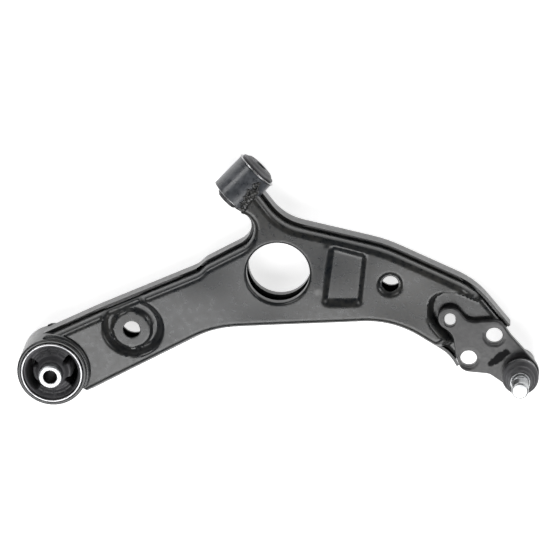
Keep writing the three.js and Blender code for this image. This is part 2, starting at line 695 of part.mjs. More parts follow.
function makeSeat() {
  const sphere = solid(new THREE.SphereGeometry(seatR, SMALL_STEPS, 16).rotateX(Math.PI / 2)
    .translate(ballPoint.x, ballPoint.y, ball.z));
  const block = turned([
    [0, coverTopZ + FIT], [seatOuterR - 1, coverTopZ + FIT], [seatOuterR, coverTopZ + FIT + 1],
    [seatOuterR, seatTopZ], [0, seatTopZ],
  ], ballPoint);
  return block.subtract(sphere).subtract(cylinder(ballPoint, 3, 0, ball.z, 16));
}

function makeCover() {
  const rim = cartridgeBore - FIT;
  const { z } = cover;
  return turned([
    [0, z + EDGE], [rim - 6, z + EDGE], [rim - 4, z], [rim, z], [rim, coverTopZ - EDGE],
    [rim - 3.4, coverTopZ],
    [0, coverTopZ],
  ], ballPoint);
}

function makeStud() {
  const { r, neckR, topZ, groove } = stud;
  const joinAngle = Math.asin(neckR / ball.r);
  const profile = [];
  const steps = 10;
  for (let i = 0; i <= steps; i += 1) {
    const angle = Math.PI - ((Math.PI - joinAngle) * i) / steps;
    profile.push([i === 0 ? 0 : ball.r * Math.sin(angle), ball.z + ball.r * Math.cos(angle)]);
  }
  profile.push(
    [neckR, ball.z + 16], [neckR + 0.8, ball.z + 20], [r - 0.3, boot.neckZ - 7.5], [r, boot.neckZ - 6],
    [r, boot.neckZ + 4.5], [r - groove, boot.neckZ + 5.8], [r - groove, boot.neckZ + 9.4],
    [r, boot.neckZ + 10.8], [r, topZ - 1.6], [r - 1.6, topZ], [0, topZ],
  );
  return turned(profile, ballPoint);
}

function makeBoot() {
  const { bulge, wall, neckZ } = boot;
  const baseR = bootBaseR;
  const bulgeR = baseR + bulge;
  const baseZ = cartridgeTopZ + FIT;
  const neckR = stud.r + FIT;
  return turned([
    [baseR - 2.6, baseZ], [baseR - 1, baseZ], [baseR - 1, baseZ + 2.8], [bulgeR - 0.4, baseZ + 4.1],
    [bulgeR, baseZ + 7], [bulgeR - 0.8, baseZ + 9.6], [bulgeR - 3.4, baseZ + 11.4],
    [bulgeR - 4.8, baseZ + 12.8],
    [bulgeR - 4.2, baseZ + 14.6], [bulgeR - 5.6, baseZ + 17.2], [neckR + 2.6, neckZ - 3.6],
    [neckR + 1.8, neckZ - 2.4], [neckR, neckZ - 2.4], [neckR, neckZ - 4.4],
    [bulgeR - 5.6 - wall, baseZ + 16.4],
    [bulgeR - 4.4 - wall, baseZ + 14.4], [bulgeR - 5.2 - wall, baseZ + 12.4],
    [bulgeR - 3.4 - wall, baseZ + 10.2],
    [bulgeR - 0.8 - wall, baseZ + 8.4], [bulgeR - 0.2 - wall, baseZ + 6.8], [baseR - 2.6, baseZ + 4.2],
  ], ballPoint);
}

function makeBaseRing() {
  const innerR = bootBaseR - 1 + FIT;
  const baseZ = cartridgeTopZ + FIT;
  return turned([
    [innerR, baseZ + 0.7], [innerR + 0.5, baseZ + 0.4], [innerR + 1.1, baseZ + 0.7],
    [innerR + 1.1, baseZ + 2],
    [innerR + 0.5, baseZ + 2.3], [innerR, baseZ + 2],
  ], ballPoint);
}

function makeNeckRing() {
  const innerR = stud.r + FIT;
  const low = boot.neckZ - 2.4 + FIT;
  return turned([
    [innerR, low], [innerR + 1.3, low], [innerR + 1.3, boot.neckZ - 0.5], [innerR + 0.8, boot.neckZ],
    [innerR, boot.neckZ],
  ], ballPoint);
}

// ---- scene graph ---------------------------------------------------------------------------------------

const arm = new THREE.Group();
const finishes = {
  coated: { color: 0x2a2c2f, roughness: 0.42, metalness: 0.3 },
  tube: { color: 0x33363b, roughness: 0.38, metalness: 0.35 },
  rubber: { color: 0x1c1d1e, roughness: 0.75, metalness: 0 },
  plated: { color: 0xd9dcdd, roughness: 0.25, metalness: 0.9 },
  steel: { color: 0xa9adb0, roughness: 0.35, metalness: 0.9 },
  polymer: { color: 0xe6e2d6, roughness: 0.5, metalness: 0 },
};

/** Adds one piece of the arm. */
function addPiece(name, finish, body) {
  const mesh = new THREE.Mesh(geometryOf(body), new THREE.MeshStandardMaterial(finishes[finish]));
  mesh.name = name;
  arm.add(mesh);
}

addPiece('upper_shell', 'coated', makeUpperShell());
addPiece('lower_shell', 'coated', makeLowerShell());
addPiece('seam_weld_front', 'coated', makeSeamWeld([
  { point: vec2(frontPoint.x + 62, 0), bearing: 180 },
  { point: vec2(ballX - 20, ballY + 62), bearing: -50 },
  { point: vec2(frontPoint.x, ballY + 100), bearing: -90 },
]));
addPiece('seam_weld_rear', 'coated', makeSeamWeld([
  { point: vec2(42, 0), bearing: 180 },
  { point: vec2(142, 0), bearing: 0 },
  { point: vec2(0, 50), bearing: -90 },
]));
addPiece('seam_weld_lower', 'coated', makeSeamWeld([
  { point: vec2(52, 0), bearing: 180 },
  { point: vec2(ballX - 90, 0), bearing: 0 },
  { point: vec2(0, 62), bearing: 90 },
  { point: vec2(50, 40), bearing: 114 },
]));
addPiece('front_bush_tube', 'tube', makeFrontTube());
addPiece('front_tube_weld_upper', 'coated', makeFrontWeld(armTopZ, 1, 4.6));
addPiece('front_tube_weld_lower', 'coated', makeFrontWeld(armBottomZ, -1, 3.2));
addPiece('front_bush_outer_sleeve', 'steel', makeFrontSleeve());
addPiece('front_bush_rubber', 'rubber', makeFrontRubber());
addPiece('front_bush_inner_sleeve', 'steel', makeFrontCore());
addPiece('rear_bush_housing', 'coated', makeRearHousing());
addPiece('rear_housing_weld_upper', 'coated', makeRearWeld(armTopZ, 1, 3.8));
addPiece('rear_housing_weld_lower', 'coated', makeRearWeld(armBottomZ, -1, 2));
addPiece('rear_bush_outer_sleeve', 'steel', makeRearSleeve());
addPiece('rear_bush_rubber', 'rubber', makeRearRubber());
addPiece('rear_bush_inner_sleeve', 'plated', makeRearCore());
addPiece('ball_joint_bracket', 'coated', makeBracket());
addPiece('bracket_weld', 'coated', makeBracketWeld());
addPiece('ball_joint_cartridge', 'coated', makeCartridge());
addPiece('ball_joint_circlip', 'steel', makeClip());
addPiece('ball_joint_seat', 'polymer', makeSeat());
addPiece('ball_joint_cover_plate', 'coated', makeCover());
addPiece('ball_stud', 'plated', makeStud());
addPiece('dust_boot', 'rubber', makeBoot());
addPiece('boot_base_ring', 'steel', makeBaseRing());
addPiece('boot_neck_ring', 'plated', makeNeckRing());

const footprint = new THREE.Box3().setFromObject(arm, true);
const middle = footprint.getCenter(new THREE.Vector3());
arm.position.set(-middle.x, -middle.y, -footprint.min.z);

export default arm;
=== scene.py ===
"""Front lower control arm: the finished surfaces, materials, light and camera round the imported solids.

Lengths in the classes are millimetres in the drawing frame, whose origin is on the rear bush's axis at
floor level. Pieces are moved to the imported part's frame, in metres, when they are finished.
"""

import json
import logging
import math
from collections.abc import Callable, Iterable, Sequence
from dataclasses import dataclass, field
from enum import Enum

import bmesh
import bpy
import numpy as np
from bmesh.types import BMEdge, BMesh, BMFace, BMVert
from bpy.types import Material, Node, NodeSocket, NodeTree, Object
from mathutils import Matrix, Vector


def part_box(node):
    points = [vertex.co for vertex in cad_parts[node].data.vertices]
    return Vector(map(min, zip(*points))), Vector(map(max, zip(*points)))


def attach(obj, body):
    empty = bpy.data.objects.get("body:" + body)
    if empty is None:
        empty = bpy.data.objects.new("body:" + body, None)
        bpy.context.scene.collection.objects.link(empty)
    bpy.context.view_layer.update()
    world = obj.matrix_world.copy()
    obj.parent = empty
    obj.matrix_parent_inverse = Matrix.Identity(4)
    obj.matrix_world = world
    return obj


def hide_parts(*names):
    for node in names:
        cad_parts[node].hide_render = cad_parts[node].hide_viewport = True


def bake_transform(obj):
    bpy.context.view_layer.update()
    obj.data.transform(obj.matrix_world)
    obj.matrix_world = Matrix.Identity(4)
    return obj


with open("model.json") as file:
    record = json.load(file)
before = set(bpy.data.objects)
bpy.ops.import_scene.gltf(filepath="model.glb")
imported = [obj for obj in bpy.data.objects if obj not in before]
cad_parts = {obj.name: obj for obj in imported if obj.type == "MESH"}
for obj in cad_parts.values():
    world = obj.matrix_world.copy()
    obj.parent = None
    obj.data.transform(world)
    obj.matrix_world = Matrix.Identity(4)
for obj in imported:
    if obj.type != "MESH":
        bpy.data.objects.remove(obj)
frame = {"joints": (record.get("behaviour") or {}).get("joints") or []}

LOG = logging.getLogger("control_arm")
MM = 0.001
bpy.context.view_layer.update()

Point = tuple[float, float]
Profile = Sequence[Point]
Corner = tuple[float, float, float]
Heights = Callable[[np.ndarray], np.ndarray]
RimPlace = Callable[[Vector], Point]


# ---- where things are ----------------------------------------------------------------------------


class Body(str, Enum):
    """The rigid bodies that pieces ride on."""

    ARM = "arm"
    FRONT_INNER = "front_inner"
    REAR_INNER = "rear_inner"
    BOOT = "boot"
    BOOT_NECK = "boot_neck"
    STUD = "stud"


@dataclass(frozen=True)
class Layout:
    """The hard points of the arm, in millimetres in the drawing frame.

    Attributes:
        shift: Where the drawing frame's origin lies in the part's frame, in metres.
        front: Middle of the front bush.
        front_axis: Direction of the front bush's axis, outwards.
        ball: Centre of the ball.
    """

    shift: Vector
    front: Vector
    front_axis: Vector
    ball: Vector

    @classmethod
    def from_frame(cls) -> "Layout":
        """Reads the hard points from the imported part.

        Returns:
            The layout.
        """
        joints = {joint["name"]: joint for joint in frame["joints"]}
        low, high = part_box("rear_bush_inner_sleeve")
        shift = Vector(((low.x + high.x) / 2, (low.y + high.y) / 2, 0.0))
        twist = joints["front_bush_twist"]
        return cls(
            shift=shift,
            front=(Vector(twist["pos_m"]) - shift) / MM,
            front_axis=Vector(twist["axis"]).normalized(),
            ball=(Vector(joints["ball_stud_spin"]["pos_m"]) - shift) / MM,
        )

    def row(self, point: Sequence[float]) -> Vector:
        """A drawing point in the part's frame, in metres."""
        return Vector(point) * MM + self.shift

    def to_row(self) -> Matrix:
        """The move from the drawing frame to the part's frame."""
        return Matrix.Translation(self.shift) @ Matrix.Scale(MM, 4)

    def on_front_axis(self) -> Matrix:
        """The move of a piece drawn about +Z to the front bush's place."""
        axis = self.front_axis
        side = Vector((0, 0, 1)).cross(axis).normalized()
        turn = Matrix((side.cross(axis), side, axis)).transposed()
        return Matrix.Translation(self.front) @ turn.to_4x4()

    def from_front(self, along: float, across: float, radius: float = 0.0) -> Corner:
        """A corner given from the front bush, along its axis in plan and square to it, towards the arm."""
        lie = Vector((self.front_axis.x, self.front_axis.y)).normalized()
        point = Vector((self.front.x, self.front.y)) + lie * along + Vector((lie.y, -lie.x)) * across
        return (point.x, point.y, radius)

    def from_middle(self, x: float, y: float, radius: float = 0.0) -> Corner:
        """A corner given from the front bush along the part's axes."""
        return (self.front.x + x, self.front.y + y, radius)

    def from_ball(self, x: float, y: float, radius: float = 0.0) -> Corner:
        """A corner given from the ball centre."""
        return (self.ball.x + x, self.ball.y + y, radius)


LAYOUT = Layout.from_frame()


# ---- outlines ------------------------------------------------------------------------------------


def rounded_loop(corners: Sequence[Corner], step: float = 5.0) -> np.ndarray:
    """Rounds the corners of a polygon with tangent arcs.

    Args:
        corners: Each corner with the radius of its arc; a radius of 0 keeps it sharp.
        step: Largest turn between two points of an arc, in degrees.

    Returns:
        The points of the loop, one row each.
    """
    loop: list[np.ndarray] = []
    for i, (x, y, radius) in enumerate(corners):
        corner = np.array((x, y))
        before = np.array(corners[i - 1][:2]) - corner
        after = np.array(corners[(i + 1) % len(corners)][:2]) - corner
        before, after = before / np.linalg.norm(before), after / np.linalg.norm(after)
        half = math.acos(max(-1.0, min(1.0, float(before @ after)))) / 2
        turn = math.pi - 2 * half
        if radius == 0 or turn < math.radians(0.5):
            loop.append(corner)
            continue
        middle = before + after
        centre = corner + middle / np.linalg.norm(middle) * radius / math.sin(half)
        start = corner + before * radius / math.tan(half) - centre
        side = -np.sign(before[0] * after[1] - before[1] * after[0])
        steps = max(2, math.ceil(turn / math.radians(step)))
        for angle in np.linspace(0, side * turn, steps + 1):
            cos, sin = math.cos(angle), math.sin(angle)
            loop.append(centre + np.array((start[0] * cos - start[1] * sin, start[0] * sin + start[1] * cos)))
    return np.array(loop)


def circle_loop(x: float, y: float, radius: float, steps: int = 64) -> np.ndarray:
    """The points of a circle, one row each."""
    angles = np.linspace(0, 2 * math.pi, steps, endpoint=False)
    return np.column_stack((x + radius * np.cos(angles), y + radius * np.sin(angles)))


def loop_area(loop: np.ndarray) -> float:
    """The signed area of a loop, positive where it runs counterclockwise."""
    x, y = loop[:, 0], loop[:, 1]
    return float(np.dot(x, np.roll(y, -1)) - np.dot(y, np.roll(x, -1))) / 2


def inset_loop(loop: np.ndarray, distance: float) -> np.ndarray:
    """Moves every side of a loop inwards.

    Args:
        loop: The points of the loop.
        distance: How far; a negative distance moves the sides outwards.

    Returns:
        The moved points, as many as came in.
    """
    before = loop - np.roll(loop, 1, axis=0)
    after = np.roll(loop, -1, axis=0) - loop
    before /= np.linalg.norm(before, axis=1)[:, None]
    after /= np.linalg.norm(after, axis=1)[:, None]
    normal = np.column_stack((-before[:, 1] - after[:, 1], before[:, 0] + after[:, 0]))
    normal /= np.linalg.norm(normal, axis=1)[:, None]
    reach = np.maximum(0.35, -normal[:, 0] * after[:, 1] + normal[:, 1] * after[:, 0])
    return loop + normal * (math.copysign(1, loop_area(loop)) * distance / reach)[:, None]


def depth_inside(points: np.ndarray, loop: np.ndarray) -> np.ndarray:
    """How far points lie inside a loop.

    Args:
        points: One row each.
        loop: The points of the loop.

    Returns:
        The distance of each point to the loop, negative outside it.
    """
    a, b = loop, np.roll(loop, -1, axis=0)
    side = b - a
    nearest = np.full(len(points), np.inf)
    inside = np.zeros(len(points), bool)
    for start, end, along in zip(a, b, side):
        t = np.clip(((points - start) @ along) / max(1e-12, along @ along), 0, 1)
        nearest = np.minimum(nearest, np.linalg.norm(points - start - t[:, None] * along, axis=1))
        crosses = (start[1] > points[:, 1]) != (end[1] > points[:, 1])
        if crosses.any():
            at = start[0] + (points[:, 1] - start[1]) * along[0] / (along[1] or 1e-12)
            inside ^= crosses & (points[:, 0] < at)
    return np.where(inside, nearest, -nearest)


def eased(values: np.ndarray, low: float, high: float) -> np.ndarray:
    """A smooth rise from 0 at low to 1 at high."""
    t = np.clip((values - low) / (high - low), 0, 1)
    return t * t * (3 - 2 * t)


# ---- mesh tools ----------------------------------------------------------------------------------


def spun(profile: Profile, steps: int = 96) -> BMesh:
    """Turns a closed profile about +Z.

    Args:
        profile: Radius and height of each point; a point with radius 0 lies on the axis.
        steps: Steps in the full turn.

    Returns:
        The turned mesh, with its faces pointing out.
    """
    mesh = bmesh.new()
    verts = [mesh.verts.new((radius, 0, height)) for radius, height in profile]
    closed = profile[0][0] > 0 or profile[-1][0] > 0
    pairs = list(zip(verts, verts[1:])) + ([(verts[-1], verts[0])] if closed else [])
    edges = [mesh.edges.new(pair) for pair in pairs]
    turn = {"cent": (0, 0, 0), "axis": (0, 0, 1), "angle": 2 * math.pi}
    bmesh.ops.spin(mesh, geom=verts + edges, steps=steps, use_merge=True, **turn)
    bmesh.ops.remove_doubles(mesh, verts=mesh.verts, dist=1e-4)
    bmesh.ops.recalc_face_normals(mesh, faces=mesh.faces)
    return mesh


def soft_profile(corners: Sequence[Corner], step: float = 15.0) -> list[tuple[float, float]]:
    """A profile for spun() whose corners are rounded.

    Args:
        corners: Radius, height and rounding of each corner of a closed profile.
        step: Largest turn between two points of a rounding, in degrees.

    Returns:
        Radius and height of each point.
    """
    return [(max(0.0, float(r)), float(z)) for r, z in rounded_loop(corners, step)]


def flowing(side: Profile, parts: int = 4) -> list[tuple[float, float]]:
    """Draws a smooth curve through the points of a profile's side.

    Args:
        side: Radius and height of each point.
        parts: Steps between two points.

    Returns:
        The points of the curve.
    """
    given = np.array(side)
    padded = np.vstack((given[:1], given, given[-1:]))
    curve = []
    for a, b, c, d in zip(padded, padded[1:], padded[2:], padded[3:]):
        for t in np.arange(parts) / parts:
            bend, sway = 2 * a - 5 * b + 4 * c - d, 3 * b - a - 3 * c + d
            curve.append(((2 * b) + (c - a) * t + bend * t**2 + sway * t**3) / 2)
    return [(float(r), float(z)) for r, z in (*curve, given[-1])]


def filled(loops: Sequence[np.ndarray], pitch: float) -> BMesh:
    """A flat sheet inside the first loop and outside the others, cut into a square grid.

    Args:
        loops: The outline and then the holes.
        pitch: Side of the grid's squares.

    Returns:
        The sheet, facing +Z.
    """
    mesh = bmesh.new()
    for loop in loops:
        verts = [mesh.verts.new((x, y, 0)) for x, y in loop]
        for pair in zip(verts, verts[1:] + verts[:1]):
            mesh.edges.new(pair)
    bmesh.ops.triangle_fill(mesh, use_beauty=True, use_dissolve=False, edges=mesh.edges[:], normal=(0, 0, 1))
    low, high = loops[0].min(axis=0), loops[0].max(axis=0)
    for axis in (0, 1):
        normal = (1, 0, 0) if axis == 0 else (0, 1, 0)
        for value in np.arange(low[axis] + pitch * 0.41, high[axis], pitch):
            place = Vector(normal) * float(value)
            geom = mesh.verts[:] + mesh.edges[:] + mesh.faces[:]
            bmesh.ops.bisect_plane(mesh, geom=geom, dist=1e-5, plane_co=place, plane_no=normal)
    slanted = []
    for edge in mesh.edges:
        run = edge.verts[0].co - edge.verts[1].co
        if len(edge.link_faces) == 2 and min(abs(run.x), abs(run.y)) > 1e-4:
            slanted.append(edge)
    bmesh.ops.dissolve_edges(mesh, edges=slanted, use_verts=True, use_face_split=False)
    for face in mesh.faces:
        face.normal_update()
    flipped = [face for face in mesh.faces if face.normal.z < 0]
    bmesh.ops.reverse_faces(mesh, faces=flipped)
    return mesh


def raise_to(mesh: BMesh, verts: Iterable[BMVert], height: Heights) -> None:
    """Sets the height of vertices from a function of their place in plan.

    Args:
        mesh: The mesh they belong to.
        verts: The vertices to move.
        height: Gives a height for each row of points.
    """
    chosen = list(verts)
    values = height(np.array([(v.co.x, v.co.y) for v in chosen]))
    for vert, value in zip(chosen, values):
        vert.co.z = float(value)
    mesh.normal_update()


def rim_edges(mesh: BMesh, near: Callable[[Vector], bool]) -> list[BMEdge]:
    """The open edges whose middle passes a test.

    Args:
        mesh: The mesh.
        near: The test.

    Returns:
        The edges.
    """
    return [e for e in mesh.edges if len(e.link_faces) == 1 and near((e.verts[0].co + e.verts[1].co) / 2)]


def hem(
    mesh: BMesh,
    rim: Sequence[BMEdge],
    places: Sequence[RimPlace],
) -> None:
    """Draws the rim of a sheet on through a row of places, each measured from where the rim is now.

    Args:
        mesh: The sheet.
        rim: Its open edges.
        places: Each gives, from a rim point, how far outwards the next edge lies and its height.
    """
    outward: dict[BMVert, Vector] = {}
    for edge in rim:
        a, b = edge.verts
        away = Vector((b.co.y - a.co.y, a.co.x - b.co.x, 0))
        if away.length < 1e-9:
            continue
        away.normalize()
        face = edge.link_faces[0]
        if away.dot((a.co + b.co) / 2 - face.calc_center_median()) < 0:
            away.negate()
        for vert in (a, b):
            outward[vert] = outward.get(vert, Vector((0, 0, 0))) + away * edge.calc_length()
    start = {vert: vert.co.copy() for vert in outward}
    for away in outward.values():
        away.normalize()
    root = {vert: vert for vert in outward}
    current = list(rim)
    for place in places:
        made = bmesh.ops.extrude_edge_only(mesh, edges=current)["geom"]
        fresh = [g for g in made if isinstance(g, BMVert)]
        following = {}
        for vert in fresh:
            source = next(e.other_vert(vert) for e in vert.link_edges if e.other_vert(vert) in root)
            following[vert] = root[source]
        for vert, origin in following.items():
            out, height = place(start[origin])
            spot = start[origin] + outward[origin] * out
            vert.co = (spot.x, spot.y, height)
        root = following
        current = [g for g in made if isinstance(g, BMEdge) and all(v in root for v in g.verts)]


def swept(path: Sequence[Vector], radii: Sequence[float], squash: float = 1.0, sides: int = 16) -> BMesh:
    """A closed bead along a path.

    Args:
        path: The points it follows.
        radii: Its radius at each point.
        squash: Height of the section against its width.
        sides: Sides of the section.

    Returns:
        The bead.
    """
    mesh = bmesh.new()
    ring: list[BMEdge] = []
    for i, (point, radius) in enumerate(zip(path, radii)):
        along = (path[min(i + 1, len(path) - 1)] - path[max(i - 1, 0)]).normalized()
        side = along.cross(Vector((0, 0, 1))).normalized()
        up = side.cross(along)
        spots = [
            point + side * radius * math.cos(a) + up * radius * squash * math.sin(a)
            for a in np.linspace(0, 2 * math.pi, sides, endpoint=False)
        ]
        if i == 0:
            verts = [mesh.verts.new(spot) for spot in spots]
            ring = [mesh.edges.new(pair) for pair in zip(verts, verts[1:] + verts[:1])]
            mesh.faces.new(verts)
            order = verts
            continue
        made = bmesh.ops.extrude_edge_only(mesh, edges=ring)["geom"]
        fresh = [g for g in made if isinstance(g, BMVert)]
        partner = {next(e.other_vert(v) for e in v.link_edges if e.other_vert(v) in order): v for v in fresh}
        order = [partner[v] for v in order]
        for vert, spot in zip(order, spots):
            vert.co = spot
        made_edges = (g for g in made if isinstance(g, BMEdge))
        ring = [edge for edge in made_edges if all(v in order for v in edge.verts)]
    mesh.faces.new(order)
    bmesh.ops.recalc_face_normals(mesh, faces=mesh.faces)
    return mesh


def slab(
    loops: Sequence[np.ndarray],
    pitch: float,
    top: Heights,
    bottom: Heights,
) -> BMesh:
    """A closed body between two height functions over a flat region.

    Args:
        loops: The outline and then the holes.
        pitch: Side of the grid's squares.
        top: Height of the upper surface at each point.
        bottom: Height of the lower surface at each point.

    Returns:
        The body.
    """
    mesh = filled(loops, pitch)
    lower = mesh.verts[:]
    made = bmesh.ops.extrude_face_region(mesh, geom=mesh.faces[:])["geom"]
    upper = [g for g in made if isinstance(g, BMVert)]
    raise_to(mesh, upper, top)
    raise_to(mesh, lower, bottom)
    bmesh.ops.recalc_face_normals(mesh, faces=mesh.faces)
    return mesh


def finished(name: str, mesh: BMesh, material: Material, sharp: float = 35.0) -> Object:
    """Makes an object of a mesh drawn in the drawing frame.

    Args:
        name: The piece's name.
        mesh: The mesh, which is used up.
        material: Its material.
        sharp: Edges that bend by more than this many degrees stay sharp.

    Returns:
        The object, in the part's frame.
    """
    bmesh.ops.transform(mesh, matrix=LAYOUT.to_row(), verts=mesh.verts)
    data = bpy.data.meshes.new(name)
    mesh.to_mesh(data)
    mesh.free()
    data.shade_smooth()
    data.set_sharp_from_angle(angle=math.radians(sharp))
    data.materials.append(material)
    piece = bpy.data.objects.new(name, data)
    bpy.context.scene.collection.objects.link(piece)
    return piece


def applied(piece: Object, sharp: float = 35.0) -> None:
    """Makes a piece's modifiers part of its mesh.

    Args:
        piece: The piece.
        sharp: Edges that bend by more than this many degrees stay sharp.
    """
    bpy.context.view_layer.update()
    graph = bpy.context.evaluated_depsgraph_get()
    data = bpy.data.meshes.new_from_object(piece.evaluated_get(graph), depsgraph=graph)
    piece.modifiers.clear()
    piece.data = data
    data.shade_smooth()
    data.set_sharp_from_angle(angle=math.radians(sharp))


def cut_away(piece: Object, cutters: Sequence[BMesh]) -> None:
    """Cuts bodies out of a piece.

    Args:
        piece: The piece.
        cutters: Closed meshes in the drawing frame, which are used up.
    """
    tools = []
    for number, cutter in enumerate(cutters):
        tool = finished(f"cutter_{number}", cutter, piece.data.materials[0])
        change = piece.modifiers.new(f"cut_{number}", "BOOLEAN")
        change.object = tool
        change.operation = "DIFFERENCE"
        change.solver = "MANIFOLD"
        tools.append(tool)
    applied(piece)
    for tool in tools:
        bpy.data.objects.remove(tool)


def stand_for(piece: Object, body: Body, node: str) -> Object:
    """Lets a finished piece ride on a body in place of a solid.

    Args:
        piece: The piece.
        body: What it moves with.
        node: The solid it stands for.

    Returns:
        The piece.
    """
    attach(piece, body.value)
    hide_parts(node)
    return piece


# ---- finishes ------------------------------------------------------------------------------------


class Socket(str, Enum):
    """Kinds of socket that the shader groups use."""

    VALUE = "NodeSocketFloat"
    VECTOR = "NodeSocketVector"


@dataclass
class NodeBench:
    """Adds and links shader nodes in one tree.

    Attributes:
        tree: The node tree.
    """

    tree: NodeTree
    count: int = 0

    def add(self, kind: str, **settings: object) -> Node:
        """Adds a node.

        Args:
            kind: Its type name.
            settings: Its properties.

        Returns:
            The node.
        """
        node = self.tree.nodes.new(kind)
        node.location = (220 * (self.count % 8), -260 * (self.count // 8))
        self.count += 1
        for name, value in settings.items():
            setattr(node, name, value)
        return node

    def link(self, source: NodeSocket, target: NodeSocket) -> None:
        """Links two sockets."""
        self.tree.links.new(source, target)

    def noise(
        self, place: NodeSocket, scale: float, detail: float = 3.0, rough: float = 0.5
    ) -> NodeSocket:
        """Adds a noise pattern.

        Args:
            place: Where it is read.
            scale: Its frequency, per metre.
            detail: Its octaves.
            rough: How much the fine octaves count.

        Returns:
            The pattern, from 0 to 1.
        """
        node = self.add("ShaderNodeTexNoise")
        node.inputs["Scale"].default_value = scale
        node.inputs["Detail"].default_value = detail
        node.inputs["Roughness"].default_value = rough
        self.link(place, node.inputs["Vector"])
        return node.outputs["Fac"]

    def spread(
        self, value: NodeSocket, low: float, high: float, to_low: float = 0.0, to_high: float = 1.0
    ) -> NodeSocket:
        """Maps one range of a value to another.

        Args:
            value: The value.
            low: Start of its range.
            high: End of its range.
            to_low: What the start maps to.
            to_high: What the end maps to.

        Returns:
            The mapped value, held within its new range.
        """
        node = self.add("ShaderNodeMapRange")
        node.inputs["From Min"].default_value = low
        node.inputs["From Max"].default_value = high
        node.inputs["To Min"].default_value = to_low
        node.inputs["To Max"].default_value = to_high
        self.link(value, node.inputs["Value"])
        return node.outputs["Result"]

    def calc(self, operation: str, a: NodeSocket, b: NodeSocket | float) -> NodeSocket:
        """Adds a sum, product or the like of two values."""
        node = self.add("ShaderNodeMath", operation=operation)
        self.link(a, node.inputs[0])
        if isinstance(b, float):
            node.inputs[1].default_value = b
        else:
            self.link(b, node.inputs[1])
        return node.outputs[0]

    def mix(self, share: NodeSocket, a: Sequence[float], b: Sequence[float]) -> NodeSocket:
        """Mixes two fixed colours by a share."""
        node = self.add("ShaderNodeMix", data_type="RGBA")
        self.link(share, node.inputs[0])
        node.inputs[6].default_value = (*a, 1)
        node.inputs[7].default_value = (*b, 1)
        return node.outputs[2]


def shader_group(name: str, ins: dict[str, float], outs: Sequence[str]) -> tuple[NodeTree, NodeBench]:
    """Starts a shader group that reads a place and some values.

    Args:
        name: The group's name.
        ins: Its value inputs with their usual values; a Place input is added before them.
        outs: Its value outputs.

    Returns:
        The group's tree and a bench to build it on.
    """
    tree = bpy.data.node_groups.new(name, "ShaderNodeTree")
    tree.interface.new_socket("Place", in_out="INPUT", socket_type=Socket.VECTOR.value)
    for key, value in ins.items():
        socket = tree.interface.new_socket(key, in_out="INPUT", socket_type=Socket.VALUE.value)
        socket.default_value = value
    for key in outs:
        tree.interface.new_socket(key, in_out="OUTPUT", socket_type=Socket.VALUE.value)
    return tree, NodeBench(tree)


class SurfaceGroups:
    """The shader groups that several finishes share."""

    def __init__(self) -> None:
        """Builds the groups."""
        self.mottle = self._mottle()
        self.grain = self._grain()

    @staticmethod
    def _mottle() -> NodeTree:
        """Broad uneven patches with finer spots in them, for colour and gloss.

        Returns:
            The group.
        """
        tree, bench = shader_group("mottle", {"Broad": 14.0, "Fine": 160.0}, ("Patches", "Spots"))
        entry, leave = bench.add("NodeGroupInput"), bench.add("NodeGroupOutput")
        for key, scale, detail in (("Patches", "Broad", 4.0), ("Spots", "Fine", 5.0)):
            noise = bench.add("ShaderNodeTexNoise")
            noise.inputs["Detail"].default_value = detail
            bench.link(entry.outputs["Place"], noise.inputs["Vector"])
            bench.link(entry.outputs[scale], noise.inputs["Scale"])
            bench.link(noise.outputs["Fac"], leave.inputs[key])
        return tree

    @staticmethod
    def _grain() -> NodeTree:
        """Fine relief: an orange-peel skin with sparse specks on it.

        Returns:
            The group.
        """
        tree, bench = shader_group("grain", {"Peel": 420.0, "Specks": 900.0, "Share": 0.35}, ("Height",))
        entry, leave = bench.add("NodeGroupInput"), bench.add("NodeGroupOutput")
        peel = bench.add("ShaderNodeTexNoise")
        peel.inputs["Detail"].default_value = 2.0
        bench.link(entry.outputs["Place"], peel.inputs["Vector"])
        bench.link(entry.outputs["Peel"], peel.inputs["Scale"])
        specks = bench.add("ShaderNodeTexVoronoi")
        bench.link(entry.outputs["Place"], specks.inputs["Vector"])
        bench.link(entry.outputs["Specks"], specks.inputs["Scale"])
        scaled = bench.calc("MULTIPLY", specks.outputs["Distance"], entry.outputs["Share"])
        bench.link(bench.calc("ADD", peel.outputs["Fac"], scaled), leave.inputs["Height"])
        return tree


GROUPS = SurfaceGroups()


